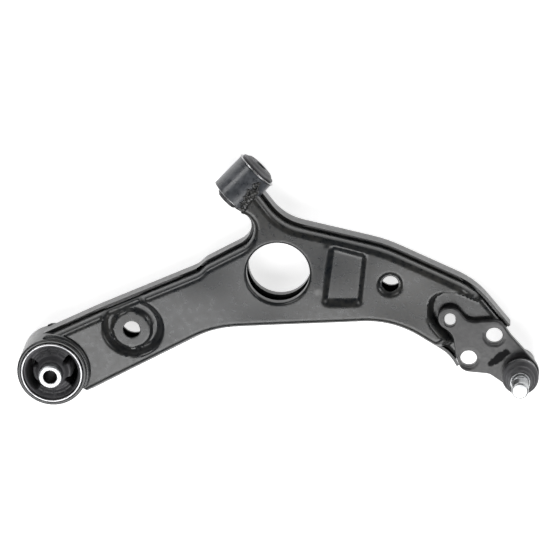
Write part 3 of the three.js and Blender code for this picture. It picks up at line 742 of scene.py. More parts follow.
@dataclass
class Shade:
    """A material being built: its bench, its shader and its object-space place.

    Attributes:
        name: The material's name.
    """

    name: str
    material: Material = field(init=False)
    bench: NodeBench = field(init=False)
    shader: Node = field(init=False)
    place: NodeSocket = field(init=False)

    def __post_init__(self) -> None:
        """Starts the material with a Principled shader."""
        self.material = bpy.data.materials.new(self.name)
        self.material.use_nodes = True
        tree = self.material.node_tree
        tree.nodes.clear()
        self.bench = NodeBench(tree)
        self.place = self.bench.add("ShaderNodeTexCoord").outputs["Object"]
        self.shader = self.bench.add("ShaderNodeBsdfPrincipled")
        output = self.bench.add("ShaderNodeOutputMaterial")
        self.bench.link(self.shader.outputs["BSDF"], output.inputs["Surface"])

    def use(self, group: NodeTree, place: NodeSocket | None = None, **values: float) -> Node:
        """Places a shared group.

        Args:
            group: The group.
            place: Where it is read; the object's own place by default.
            values: Its input values.

        Returns:
            The group's node.
        """
        node = self.bench.add("ShaderNodeGroup", node_tree=group)
        self.bench.link(place or self.place, node.inputs["Place"])
        for key, value in values.items():
            node.inputs[key].default_value = value
        return node

    def bump(self, height: NodeSocket, distance: float, strength: float = 1.0) -> None:
        """Feeds a height to the shader's normal, on top of any that is there.

        Args:
            height: The height.
            distance: Its full height, in metres.
            strength: How much of it is used.
        """
        node = self.bench.add("ShaderNodeBump")
        node.inputs["Distance"].default_value = distance
        node.inputs["Strength"].default_value = strength
        self.bench.link(height, node.inputs["Height"])
        given = self.shader.inputs["Normal"].links
        if given:
            self.bench.link(given[0].from_socket, node.inputs["Normal"])
        self.bench.link(node.outputs["Normal"], self.shader.inputs["Normal"])

    def set(self, **values: float) -> None:
        """Sets plain values on the shader's sockets; an underscore in a name stands for a space."""
        for key, value in values.items():
            self.shader.inputs[key.replace("_", " ")].default_value = value

    def feed(self, socket: str, value: NodeSocket) -> None:
        """Links a value or a colour to the shader."""
        self.bench.link(value, self.shader.inputs[socket])


@dataclass(frozen=True)
class DipCoat:
    """Black electro-dip coating over pressed steel.

    Attributes:
        name: The material's name.
        dark: Its deeper tone.
        light: Its paler tone.
        gloss: Roughness of its smoothest and roughest spots.
        peel: Height of its orange peel, in metres.
        lines: Height of drawing lines under the coat, in metres; 0 leaves them out.
        line_turn: Direction of those lines, in degrees about +Z.
        dark_band: Whether a ragged dark, matte band is laid across it beside the ball joint.
    """

    name: str
    dark: tuple[float, float, float] = (0.008, 0.011, 0.015)
    light: tuple[float, float, float] = (0.036, 0.035, 0.031)
    gloss: tuple[float, float] = (0.24, 0.42)
    peel: float = 0.00005
    lines: float = 0.0
    line_turn: float = 0.0
    dark_band: bool = False

    def material(self) -> Material:
        """Builds the material.

        Returns:
            The material.
        """
        shade = Shade(self.name)
        bench = shade.bench
        mottle = shade.use(GROUPS.mottle, Broad=11.0, Fine=190.0)
        both = bench.calc("MULTIPLY", mottle.outputs["Patches"], mottle.outputs["Spots"])
        tone = bench.spread(both, 0.12, 0.42)
        rough = bench.spread(mottle.outputs["Spots"], 0.3, 0.7, *self.gloss)
        # A ragged band beside the ball joint is made darker and matte.
        if self.dark_band:
            tone, rough = self._with_dark_band(shade, tone, rough)
        shade.feed("Base Color", bench.mix(tone, self.dark, self.light))
        shade.feed("Roughness", rough)
        shade.set(Metallic=0.0, Coat_Roughness=0.2)
        if not self.dark_band:
            shade.set(Coat_Weight=0.4, Specular_IOR_Level=0.55)
        shade.bump(bench.noise(shade.place, 17.0, 1.5), 0.0016, 0.5)
        if self.lines:
            turned = bench.add("ShaderNodeMapping")
            turned.inputs["Rotation"].default_value = (0, 0, math.radians(-self.line_turn))
            turned.inputs["Scale"].default_value = (0.06, 1, 1)
            bench.link(shade.place, turned.inputs["Vector"])
            shade.bump(bench.noise(turned.outputs["Vector"], 900.0, 3.0, 0.6), self.lines)
        grain = shade.use(GROUPS.grain, Peel=520.0, Specks=1500.0, Share=0.06)
        shade.bump(grain.outputs["Height"], self.peel)
        return shade.material

    def _with_dark_band(
        self, shade: Shade, tone: NodeSocket, rough: NodeSocket
    ) -> tuple[NodeSocket, NodeSocket]:
        """Darkens a ragged band across the bracket's neck and makes it rougher, with weaker specular and no
        coat.

        Args:
            shade: The material being built.
            tone: The share of the paler tone.
            rough: The roughness.

        Returns:
            Both, changed inside the band.
        """
        bench = shade.bench
        centre = LAYOUT.row((LAYOUT.ball.x - 23, LAYOUT.ball.y + 17, 35))
        moved = bench.add("ShaderNodeMapping", vector_type="TEXTURE")
        moved.inputs["Location"].default_value = centre
        moved.inputs["Rotation"].default_value = (0, 0, math.radians(38))
        moved.inputs["Scale"].default_value = (0.0155, 0.0052, 0.05)
        bench.link(shade.place, moved.inputs["Vector"])
        length = bench.add("ShaderNodeVectorMath", operation="LENGTH")
        bench.link(moved.outputs["Vector"], length.inputs[0])
        ragged = bench.calc("ADD", length.outputs["Value"], bench.noise(shade.place, 190.0, 4.0))
        inside = bench.spread(ragged, 1.32, 1.52)
        shade.feed("Specular IOR Level", bench.spread(inside, 0, 1, 0.06, 0.5))
        shade.feed("Coat Weight", bench.spread(inside, 0, 1, 0.0, 0.3))
        return bench.calc("MULTIPLY", tone, inside), bench.spread(inside, 0, 1, 0.5, 0.34)


@dataclass(frozen=True)
class MouldedRubber:
    """Black moulded rubber with a faint bloom.

    Attributes:
        name: The material's name.
        dark: Its clean tone.
        bloom: Its bloomed tone.
        gloss: Roughness of its smoothest and roughest spots.
    """

    name: str
    dark: tuple[float, float, float] = (0.040, 0.040, 0.043)
    bloom: tuple[float, float, float] = (0.115, 0.113, 0.122)
    gloss: tuple[float, float] = (0.42, 0.62)

    def material(self) -> Material:
        """Builds the material.

        Returns:
            The material.
        """
        shade = Shade(self.name)
        bench = shade.bench
        mottle = shade.use(GROUPS.mottle, Broad=45.0, Fine=420.0)
        share = bench.spread(mottle.outputs["Patches"], 0.35, 0.7)
        shade.feed("Base Color", bench.mix(share, self.dark, self.bloom))
        shade.feed("Roughness", bench.spread(mottle.outputs["Spots"], 0.3, 0.7, *self.gloss))
        shade.set(Specular_IOR_Level=0.5, Sheen_Weight=0.06, Sheen_Roughness=0.5)
        grain = shade.use(GROUPS.grain, Peel=900.0, Specks=2600.0, Share=0.4)
        shade.bump(grain.outputs["Height"], 0.00006)
        return shade.material


@dataclass(frozen=True)
class TurnedMetal:
    """Bare or plated steel with fine turning marks round an axis.

    Attributes:
        name: The material's name.
        dull: Its duller tone.
        bright: Its brighter tone.
        gloss: Roughness of its smoothest and roughest spots.
        marks: Height of the turning marks, in metres.
    """

    name: str
    dull: tuple[float, float, float] = (0.34, 0.35, 0.36)
    bright: tuple[float, float, float] = (0.66, 0.67, 0.68)
    gloss: tuple[float, float] = (0.28, 0.46)
    marks: float = 0.000012

    def material(self) -> Material:
        """Builds the material.

        Returns:
            The material.
        """
        shade = Shade(self.name)
        bench = shade.bench
        mottle = shade.use(GROUPS.mottle, Broad=60.0, Fine=500.0)
        share = bench.spread(mottle.outputs["Patches"], 0.3, 0.62)
        shade.feed("Base Color", bench.mix(share, self.dull, self.bright))
        shade.feed("Roughness", bench.spread(mottle.outputs["Spots"], 0.3, 0.7, *self.gloss))
        shade.set(Metallic=1.0)
        flat = bench.add("ShaderNodeMapping")
        flat.inputs["Scale"].default_value = (0.05, 0.05, 1)
        bench.link(shade.place, flat.inputs["Vector"])
        shade.bump(bench.noise(flat.outputs["Vector"], 2600.0, 2.0), self.marks)
        return shade.material


@dataclass(frozen=True)
class Moulding:
    """Natural acetal of the ball seat.

    Attributes:
        name: The material's name.
        tone: Its colour.
        stain: Its colour where grease has stained it.
    """

    name: str
    tone: tuple[float, float, float] = (0.80, 0.77, 0.68)
    stain: tuple[float, float, float] = (0.62, 0.57, 0.45)

    def material(self) -> Material:
        """Builds the material.

        Returns:
            The material.
        """
        shade = Shade(self.name)
        bench = shade.bench
        mottle = shade.use(GROUPS.mottle, Broad=70.0, Fine=600.0)
        share = bench.spread(mottle.outputs["Patches"], 0.4, 0.7)
        shade.feed("Base Color", bench.mix(share, self.tone, self.stain))
        shade.feed("Roughness", bench.spread(mottle.outputs["Spots"], 0.3, 0.7, 0.35, 0.55))
        shade.set(Subsurface_Weight=0.05)
        return shade.material


@dataclass(frozen=True)
class Finishes:
    """Every material of the arm, built once."""

    shell: Material = field(default_factory=lambda: DipCoat("shell_dip_coat").material())
    forged: Material = field(
        default_factory=lambda: DipCoat(
            "forged_dip_coat",
            dark=(0.012, 0.012, 0.013),
            light=(0.046, 0.046, 0.047),
            peel=0.00009,
            dark_band=True,
        ).material()
    )
    weld: Material = field(
        default_factory=lambda: DipCoat("weld_dip_coat", gloss=(0.26, 0.5), peel=0.00022).material()
    )
    tube: Material = field(
        default_factory=lambda: DipCoat(
            "tube_dip_coat",
            dark=(0.024, 0.028, 0.034),
            light=(0.105, 0.112, 0.125),
            lines=0.00022,
            line_turn=45.0,
        ).material()
    )
    housing: Material = field(
        default_factory=lambda: DipCoat("housing_dip_coat", gloss=(0.28, 0.40)).material()
    )
    rubber: Material = field(default_factory=lambda: MouldedRubber("bush_rubber").material())
    boot: Material = field(
        default_factory=lambda: MouldedRubber(
            "boot_rubber", dark=(0.055, 0.055, 0.058), bloom=(0.125, 0.125, 0.132)
        ).material()
    )
    zinc: Material = field(default_factory=lambda: TurnedMetal("bright_zinc").material())
    steel: Material = field(
        default_factory=lambda: TurnedMetal(
            "oiled_steel", dull=(0.30, 0.30, 0.31), bright=(0.55, 0.55, 0.56), gloss=(0.26, 0.42)
        ).material()
    )
    phosphate: Material = field(
        default_factory=lambda: TurnedMetal(
            "phosphated_steel", dull=(0.035, 0.036, 0.038), bright=(0.10, 0.10, 0.105), gloss=(0.38, 0.55)
        ).material()
    )
    acetal: Material = field(default_factory=lambda: Moulding("seat_acetal").material())


# ---- the pressed arm -----------------------------------------------------------------------------


@dataclass
class PressedArm:
    """The two pressed shells and the welds between them."""

    finishes: Finishes
    sheet: float = 3.0
    bottom_z: float = 5.0
    top_z: float = 44.0
    lower_skirt_z: float = 27.0
    upper_skirt_z: float = 13.0
    top_radius: float = 7.0
    bottom_radius: float = 6.0
    land_z: float = 27.0
    pitch: float = 1.7
    fit: float = 0.35
    pieces: list[Object] = field(default_factory=list)

    def outline(self) -> np.ndarray:
        """The outside of the lower shell in plan; it runs past both ends, where flat cuts finish it."""
        at, mid, ball = LAYOUT.from_front, LAYOUT.from_middle, LAYOUT.from_ball
        return rounded_loop([
            (-42, 21, 0), (47, 64, 260), mid(-49.5, -94, 22), mid(-41.5, -86, 22), at(-35.6, 47.7, 23),
            at(-16.6, 28.6, 12), at(-29, 17), at(-29, -6), at(12, -6), at(2.5, 57.6, 55),
            ball(-143, 141, 150), ball(-48, 97, 90), ball(14, 20), ball(-53, -21), ball(-76, 18, 40),
            ball(-136, 56, 100),
            mid(-31.5, -160.5, 110), (15, -40, 0),
        ], 4.0)

    @staticmethod
    def land() -> np.ndarray:
        """The recess round the bracket."""
        ball = LAYOUT.from_ball
        return rounded_loop([
            ball(-10, 70), ball(-31, 77, 20), ball(-66, 93, 30), ball(-97, 92, 17), ball(-99, 60, 24),
            ball(-76, 31, 40), ball(-58, -6, 20), ball(-30, -50), ball(60, 0),
        ], 6.0)

    @staticmethod
    def ramp() -> np.ndarray:
        """The stretch where the arm's narrow leg runs down to the recess."""
        turn, start = math.radians(-54), np.array(LAYOUT.from_ball(-88, 37)[:2])
        along = np.array((math.cos(turn), math.sin(turn)))
        across = np.array((-math.sin(turn), math.cos(turn)))
        return np.array([start + along * a + across * b for a, b in ((0, 32), (0, -30), (90, -30), (90, 32))])

    @staticmethod
    def pocket() -> np.ndarray:
        """The four-sided pocket."""
        ball = LAYOUT.from_ball
        corners = [ball(-201, 145, 7), ball(-162, 134, 6), ball(-168, 77, 6), ball(-211, 76, 7)]
        return rounded_loop(corners, 8.0)

    def top_height(self, points: np.ndarray) -> np.ndarray:
        """Height of the upper shell's face.

        Args:
            points: Places in plan.

        Returns:
            The height at each.
        """
        deep = self.top_z - self.land_z
        land = eased(depth_inside(points, self.land()), -0.9, 6.4) * deep
        ramp = eased(depth_inside(points, self.ramp()), -1.5, 15.5) * deep
        down = np.maximum(land, ramp)
        bow = np.sin(points[:, 0] * 0.043 + 1.1) * np.sin(points[:, 1] * 0.052 + 0.4)
        down += 0.55 * (1 + bow) * (1 - eased(down, 0.5, 4.0))
        pocket = eased(depth_inside(points, self.pocket()), -1.4, 6.8)
        down += pocket * (3.7 - 0.012 * (points[:, 1] - LAYOUT.ball.y - 106))
        well = np.linalg.norm(points - (86, 50), axis=1)
        lean = np.clip((points - (86, 50)) @ (0.97, -0.24) / np.maximum(well, 1.0), 0, 1)
        down += eased(-well + 3.6 * lean, -32.3, -24.8 + 1.5 * lean) * 9
        pad = np.linalg.norm(points - (86, 46), axis=1)
        down -= eased(-pad, -23.0, -19.4) * 3.4
        collar = np.linalg.norm(points - np.array(LAYOUT.from_ball(-138, 101)[:2]), axis=1)
        down += eased(-collar, -13.9, -10.6) * 2.4
        left, right = np.array(LAYOUT.from_ball(-203.5, 147)[:2]), np.array(LAYOUT.from_ball(-215, 88)[:2])
        span = right - left
        t = np.clip(((points - left) @ span) / (span @ span), 0, 1)
        off = np.linalg.norm(points - left - t[:, None] * span, axis=1)
        down -= 0.9 * np.exp(-((off / 2.6) ** 2)) * eased(t, 0, 0.12) * eased(1 - t, 0, 0.12)
        facet = points @ np.array((-0.41, 0.912))
        down += eased(facet, 34.5, 52.0) * 4.0 * eased(-points[:, 0], -64, -38)
        return self.top_z - down

    def rounding(self, radius: float, up: float, skirt_z: float) -> list[RimPlace]:
        """The places that a rim is drawn through: round the edge, then straight to the skirt's end.

        Args:
            radius: Radius of the edge.
            up: 1 where the sheet is the upper shell's and -1 for the lower's.
            skirt_z: Height of the skirt's end.

        Returns:
            The places for hem().
        """
        places: list[RimPlace] = []
        for angle in np.radians(np.linspace(0, 90, 7)[1:]):
            out, drop = radius * math.sin(angle), radius * (1 - math.cos(angle))
            places.append(lambda rim, out=out, drop=drop: (out, rim.z - up * drop))
        for share in (0.3, 0.65, 1.0):
            places.append(
                lambda rim, share=share: (radius, (rim.z - up * radius) * (1 - share) + skirt_z * share)
            )
        return places

    def trimmed(self, mesh: BMesh) -> None:
        """Cuts the sheet off flat at both ends.

        Args:
            mesh: The sheet.
        """
        end = LAYOUT.from_ball(-45, 23)
        turn = math.radians(-50)
        for point, normal in (
            ((end[0], end[1], 0), (math.cos(turn), math.sin(turn), 0)),
            ((6.4, 6.4, 0), (-1, -1, 0)),
        ):
            geom = mesh.verts[:] + mesh.edges[:] + mesh.faces[:]
            bmesh.ops.bisect_plane(
                mesh, geom=geom, dist=1e-4, plane_co=point, plane_no=normal, clear_outer=True
            )

    def cutters(self) -> list[BMesh]:
        """What both shells are cut by: the two bush seats and the bracket's hole clearances.

        Returns:
            The cutting bodies.
        """
        seat = spun([(0, -80), (22.3, -80), (22.3, 80), (0, 80)], 96)
        bmesh.ops.transform(seat, matrix=LAYOUT.on_front_axis(), verts=seat.verts)
        made = [spun([(0, -10), (37.6, -10), (37.6, 80), (0, 80)], 128), seat]
        holes = (LAYOUT.from_ball(-28, 42, 11.5), LAYOUT.from_ball(-55, 16, 11.5))
        for x, y, radius in holes:
            hole = spun([(0, -10), (radius, -10), (radius, 80), (0, 80)], 64)
            bmesh.ops.translate(hole, vec=(x, y, 0), verts=hole.verts)
            made.append(hole)
        for x, y, radius in (*holes, LAYOUT.from_ball(-75, 59, 7.6)):
            relief = spun([(0, -12), (radius, -12), (radius, 24), (0, 24)], 48)
            for vert in relief.verts:
                vert.co += Vector((0.08, 0.36, 0)) * (vert.co.z - 35.0) + Vector((x, y, 0))
            made.append(relief)
        slot = spun([(0, -10), (8.5, -10), (8.5, 80), (0, 80)], 64)
        for vert in slot.verts:
            vert.co.y += math.copysign(1.7, vert.co.y) if abs(vert.co.y) > 1e-6 else 0
        x, y, _ = LAYOUT.from_ball(-75, 59)
        bmesh.ops.translate(slot, vec=(x, y, 0), verts=slot.verts)
        return [*made, slot]

    def upper_shell(self) -> Object:
        """Builds the upper shell.

        Returns:
            The piece.
        """
        outside = inset_loop(self.outline(), self.sheet + self.fit)
        big = LAYOUT.from_middle(37, -93.5)
        small = LAYOUT.from_ball(-138, 101)
        flare = 3.2
        holes = [(big[0], big[1], 33.5 + flare), (86.0, 46.0, 9.8), (small[0], small[1], 9.5)]
        loops = [inset_loop(outside, self.top_radius)]
        loops += [circle_loop(x, y, r, 96 if r > 20 else 48) for x, y, r in holes]
        mesh = filled(loops, self.pitch)
        raise_to(mesh, mesh.verts, self.top_height)
        spots = [(Vector((x, y)), r) for x, y, r in holes]

        def beside(number: int) -> Callable[[Vector], bool]:
            centre, radius = spots[number]
            return lambda p: abs((Vector((p.x, p.y)) - centre).length - radius) < 0.5

        outer = rim_edges(mesh, lambda p: not any(beside(i)(p) for i in range(3)))
        hem(mesh, outer, self.rounding(self.top_radius, 1, self.upper_skirt_z))
        lip = [
            (lambda rim, a=a: (flare * math.sin(a), rim.z - flare * (1 - math.cos(a))))
            for a in np.radians((18, 36, 54, 72, 90))
        ]
        lip += [lambda rim, z=z: (flare, z) for z in (37.0, 33.4)]
        hem(mesh, rim_edges(mesh, beside(0)), lip)
        for number in (1, 2):
            edge = [
                (lambda rim, a=a: (0.8 * math.sin(a), rim.z - 0.8 * (1 - math.cos(a))))
                for a in np.radians((30, 60, 90))
            ]
            hem(mesh, rim_edges(mesh, beside(number)), edge)
        self.trimmed(mesh)
        return self.walled("upper_shell_pressing", mesh, "upper_shell")

    def lower_shell(self) -> Object:
        """Builds the lower shell.

        Returns:
            The piece.
        """
        outside = self.outline()
        big = LAYOUT.from_middle(37, -93.5)
        small = LAYOUT.from_ball(-138, 101)
        holes = [(big[0], big[1], 36.0), (86.0, 46.0, 15.0), (small[0], small[1], 13.2)]
        loops = [inset_loop(outside, self.bottom_radius)]
        loops += [circle_loop(x, y, r, 96 if r > 20 else 48) for x, y, r in holes]
        mesh = filled(loops, 4.0)
        raise_to(mesh, mesh.verts, lambda points: np.full(len(points), self.bottom_z))
        spots = [(Vector((x, y)), r) for x, y, r in holes]

        def near_hole(p: Vector) -> bool:
            return any(abs((Vector((p.x, p.y)) - centre).length - radius) < 0.5 for centre, radius in spots)

        outer = rim_edges(mesh, lambda p: not near_hole(p))
        hem(mesh, outer, self.rounding(self.bottom_radius, -1, self.lower_skirt_z))
        centre, radius = spots[0]
        lip = [
            (lambda rim, a=a: (2.5 * math.sin(a), rim.z + 2.5 * (1 - math.cos(a))))
            for a in np.radians((22, 45, 68, 90))
        ]
        lip += [lambda rim, z=z: (2.5, z) for z in (12.0, 16.0)]
        hem(mesh, rim_edges(mesh, lambda p: abs((Vector((p.x, p.y)) - centre).length - radius) < 0.5), lip)
        bmesh.ops.reverse_faces(mesh, faces=mesh.faces)
        self.trimmed(mesh)
        return self.walled("lower_shell_pressing", mesh, "lower_shell")

    def walled(self, name: str, mesh: BMesh, node: str) -> Object:
        """Gives a sheet its thickness and cuts it round its neighbours.

        Args:
            name: The piece's name.
            mesh: The outer face of the sheet.
            node: The solid it stands for.

        Returns:
            The piece.
        """
        piece = finished(name, mesh, self.finishes.shell)
        wall = piece.modifiers.new("wall", "SOLIDIFY")
        wall.thickness = self.sheet * MM * 0.96
        wall.offset = -1.0
        applied(piece)
        cut_away(piece, self.cutters())
        return stand_for(piece, Body.ARM, node)

    def seam(self, node: str, start: float, end: float, side: Heights) -> Object:
        """A rippled seam bead on top of the lower shell's side wall.

        Args:
            node: The solid it stands for.
            start: Lowest place along X.
            end: Highest place along X.
            side: Picks the stretch of the outline.

        Returns:
            The piece.
        """
        loop = inset_loop(self.outline(), 1.75)
        fine = []
        for a, b in zip(loop, np.roll(loop, -1, axis=0)):
            count = max(1, int(np.linalg.norm(b - a) / 0.8))
            fine += [a + (b - a) * k / count for k in range(count)]
        points = np.array(fine)
        keep = (points[:, 0] > start) & (points[:, 0] < end) & side(points)
        path = [Vector((x, y, self.lower_skirt_z + 0.9)) for x, y in points[keep]]
        radii = []
        for i in range(len(path)):
            ripple = 1 + 0.10 * math.sin(i * 2.1) + 0.05 * math.sin(i * 0.7)
            radii.append(0.5 + 0.95 * min(1.0, i / 6, (len(path) - 1 - i) / 6) * ripple)
        piece = finished(node + "_bead", swept(path, radii, 0.95, 10), self.finishes.weld, 60)
        return stand_for(piece, Body.ARM, node)

    def build(self) -> None:
        """Builds the shells and their seams."""
        self.pieces = [self.upper_shell(), self.lower_shell()]
        ball_x = LAYOUT.ball.x
        for node, start, end, side in (
            ("seam_weld_front", LAYOUT.front.x + 62, ball_x - 58, lambda p: p[:, 1] > 102),
            ("seam_weld_rear", 42, 142, lambda p: p[:, 1] > 50),
            ("seam_weld_lower", 52, ball_x - 90, lambda p: p[:, 1] < np.minimum(60, 20 + p[:, 0] * 0.45)),
        ):
            self.pieces.append(self.seam(node, start, end, side))


# ---- front bush ----------------------------------------------------------------------------------


@dataclass
class FrontBush:
    """The near-horizontal front bush: tube, flanged sleeve, rubber and inner sleeve."""

    finishes: Finishes
    tube_r: float = 22.0
    tube_wall: float = 3.2
    half: float = 19.5
    fit: float = 0.35
    flange_r: float = 23.0
    flange: float = 1.5
    core_r: float = 11.0
    bore: float = 6.1
    nose: float = 5.8
    buffer_r: float = 20.5
    buffer: float = 5.3
    crown_r: float = 13.5
    pieces: list[Object] = field(default_factory=list)

    def placed(self, mesh: BMesh) -> BMesh:
        """Moves a mesh drawn about +Z onto the bush's axis."""
        bmesh.ops.transform(mesh, matrix=LAYOUT.on_front_axis(), verts=mesh.verts)
        return mesh

    def tube(self) -> Object:
        """The welded tube."""
        bore = self.tube_r - self.tube_wall
        mesh = spun(soft_profile([
            (bore, -self.half, 0.5), (self.tube_r, -self.half, 0.9), (self.tube_r, self.half, 0.9),
            (bore, self.half, 0.5),
        ]), 128)
        piece = finished("front_tube", self.placed(mesh), self.finishes.tube)
        return stand_for(piece, Body.ARM, "front_bush_tube")

    def sleeve(self) -> Object:
        """The outer sleeve with its thin flange."""
        outer = self.tube_r - self.tube_wall - self.fit
        bore, low = outer - 1.6, self.half + self.fit
        mesh = spun(soft_profile([
            (bore, -self.half - 1, 0.3), (outer, -self.half - 1, 0.5), (outer, low, 0.2),
            (self.flange_r, low, 0.4), (self.flange_r, low + self.flange, 0.6),
            (bore, low + self.flange, 0.3),
        ]), 128)
        piece = finished("front_flanged_sleeve", self.placed(mesh), self.finishes.steel)
        return stand_for(piece, Body.ARM, "front_bush_outer_sleeve")

    def rubber(self) -> Object:
        """The rubber with its end buffer."""
        outer = self.tube_r - self.tube_wall - 2 * self.fit - 1.6
        bore = self.core_r + self.fit
        low = self.half + 2 * self.fit + self.flange
        mesh = spun(soft_profile([
            (bore, -self.half - 4.2, 0.6), (bore + 1.6, -self.half - 4.2, 0.9),
            (outer - 2.5, -self.half - 0.2, 2.0),
            (outer, -self.half - 0.4, 0.4), (outer, low, 0.1), (self.buffer_r, low, 0.6),
            (self.buffer_r, low + 2.1, 1.1), (self.crown_r + 4.2, low + 3.1, 1.6),
            (self.crown_r + 1.4, low + self.buffer, 1.3),
            (bore, low + self.buffer, 0.7),
        ], 10), 128)
        piece = finished("front_rubber", self.placed(mesh), self.finishes.rubber)
        reach = LAYOUT.row(LAYOUT.front)
        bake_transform(piece)
        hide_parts("front_bush_rubber")
        return piece

    def core(self) -> Object:
        """The inner sleeve."""
        low = -self.half - self.nose
        high = self.half + 2 * self.fit + self.flange + self.buffer + self.fit + 0.05
        mesh = spun(soft_profile([
            (self.bore, low, 0.8), (self.core_r, low, 0.9), (self.core_r, high, 0.9),
            (self.bore, high, 0.8),
        ], 22), 128)
        piece = finished("front_inner_sleeve", self.placed(mesh), self.finishes.phosphate)
        return stand_for(piece, Body.FRONT_INNER, "front_bush_inner_sleeve")

    def bead(self, node: str, face_z: float, up: float, size: float) -> Object:
        """A ragged fillet weld along the tube.

        Args:
            node: The solid it stands for.
            face_z: Height of the shell's face beside it.
            up: 1 on the upper shell, -1 on the lower one.
            size: Radius of the bead.

        Returns:
            The piece.
        """
        tilt = -LAYOUT.front_axis.z / math.hypot(LAYOUT.front_axis.x, LAYOUT.front_axis.y)
        path, radii = [], []
        for i, along in enumerate(np.linspace(-16.5, 11.5, 57)):
            rise = abs(face_z - (LAYOUT.front.z - along * tilt))
            across = math.sqrt(max(self.tube_r**2 - rise**2, 9.0))
            wander = 0.55 * math.sin(along * 0.9) + 0.35 * math.sin(along * 2.3 + 1.0)
            x, y, _ = LAYOUT.from_front(along, across + 0.9 + wander)
            path.append(Vector((x, y, face_z + up * (0.55 + 0.2 * math.sin(along * 1.7)))))
            end = min(1.0, i / 5, (56 - i) / 5)
            ripple = 1 + 0.13 * math.sin(along * 2.6) + 0.07 * math.sin(along * 5.1 + 0.4)
            radii.append(size * (0.35 + 0.50 * end * ripple))
        piece = finished(node + "_bead", swept(path, radii, 0.8, 20), self.finishes.weld, 70)
        return stand_for(piece, Body.ARM, node)

    def strand(self, number: int, turn: float, span: tuple[float, float]) -> Object:
        """One wandering strand of the weld's ragged edge, lying up the tube's crown.

        Args:
            number: Which strand.
            turn: How far round from the top of the tube it lies, in degrees.
            span: Where it starts and ends along the axis.

        Returns:
            The piece.
        """
        axis = LAYOUT.front_axis
        up = (Vector((0, 0, 1)) - axis * axis.z).normalized()
        side = axis.cross(up)
        path, radii = [], []
        for i, along in enumerate(np.linspace(*span, 40)):
            wander = 4.6 * math.sin(along * 0.62 + number * 2.1) + 2.4 * math.sin(along * 1.55 + number)
            angle = math.radians(turn + wander)
            spoke = side * math.sin(angle) + up * math.cos(angle)
            path.append(LAYOUT.front + axis * along + spoke * (self.tube_r + 0.25))
            end = min(1.0, i / 5, (39 - i) / 5)
            radii.append(0.35 + end * (0.95 + 0.35 * math.sin(along * 2.9 + number * 1.3)))
        mesh = swept(path, radii, 0.8, 14)
        piece = finished(f"front_tube_weld_strand_{number}", mesh, self.finishes.weld, 70)
        return stand_for(piece, Body.ARM, "front_tube_weld_upper")

    def build(self) -> None:
        """Builds the front bush."""
        self.pieces = [
            self.tube(), self.sleeve(), self.rubber(), self.core(),
            self.bead("front_tube_weld_upper", 44.0, 1, 4.6),
            self.bead("front_tube_weld_lower", 5.0, -1, 3.2),
            self.strand(1, 27, (-15, 15)), self.strand(2, 20, (-8, 17)), self.strand(3, 33, (-17, 9)),
        ]


# ---- rear bush -----------------------------------------------------------------------------------


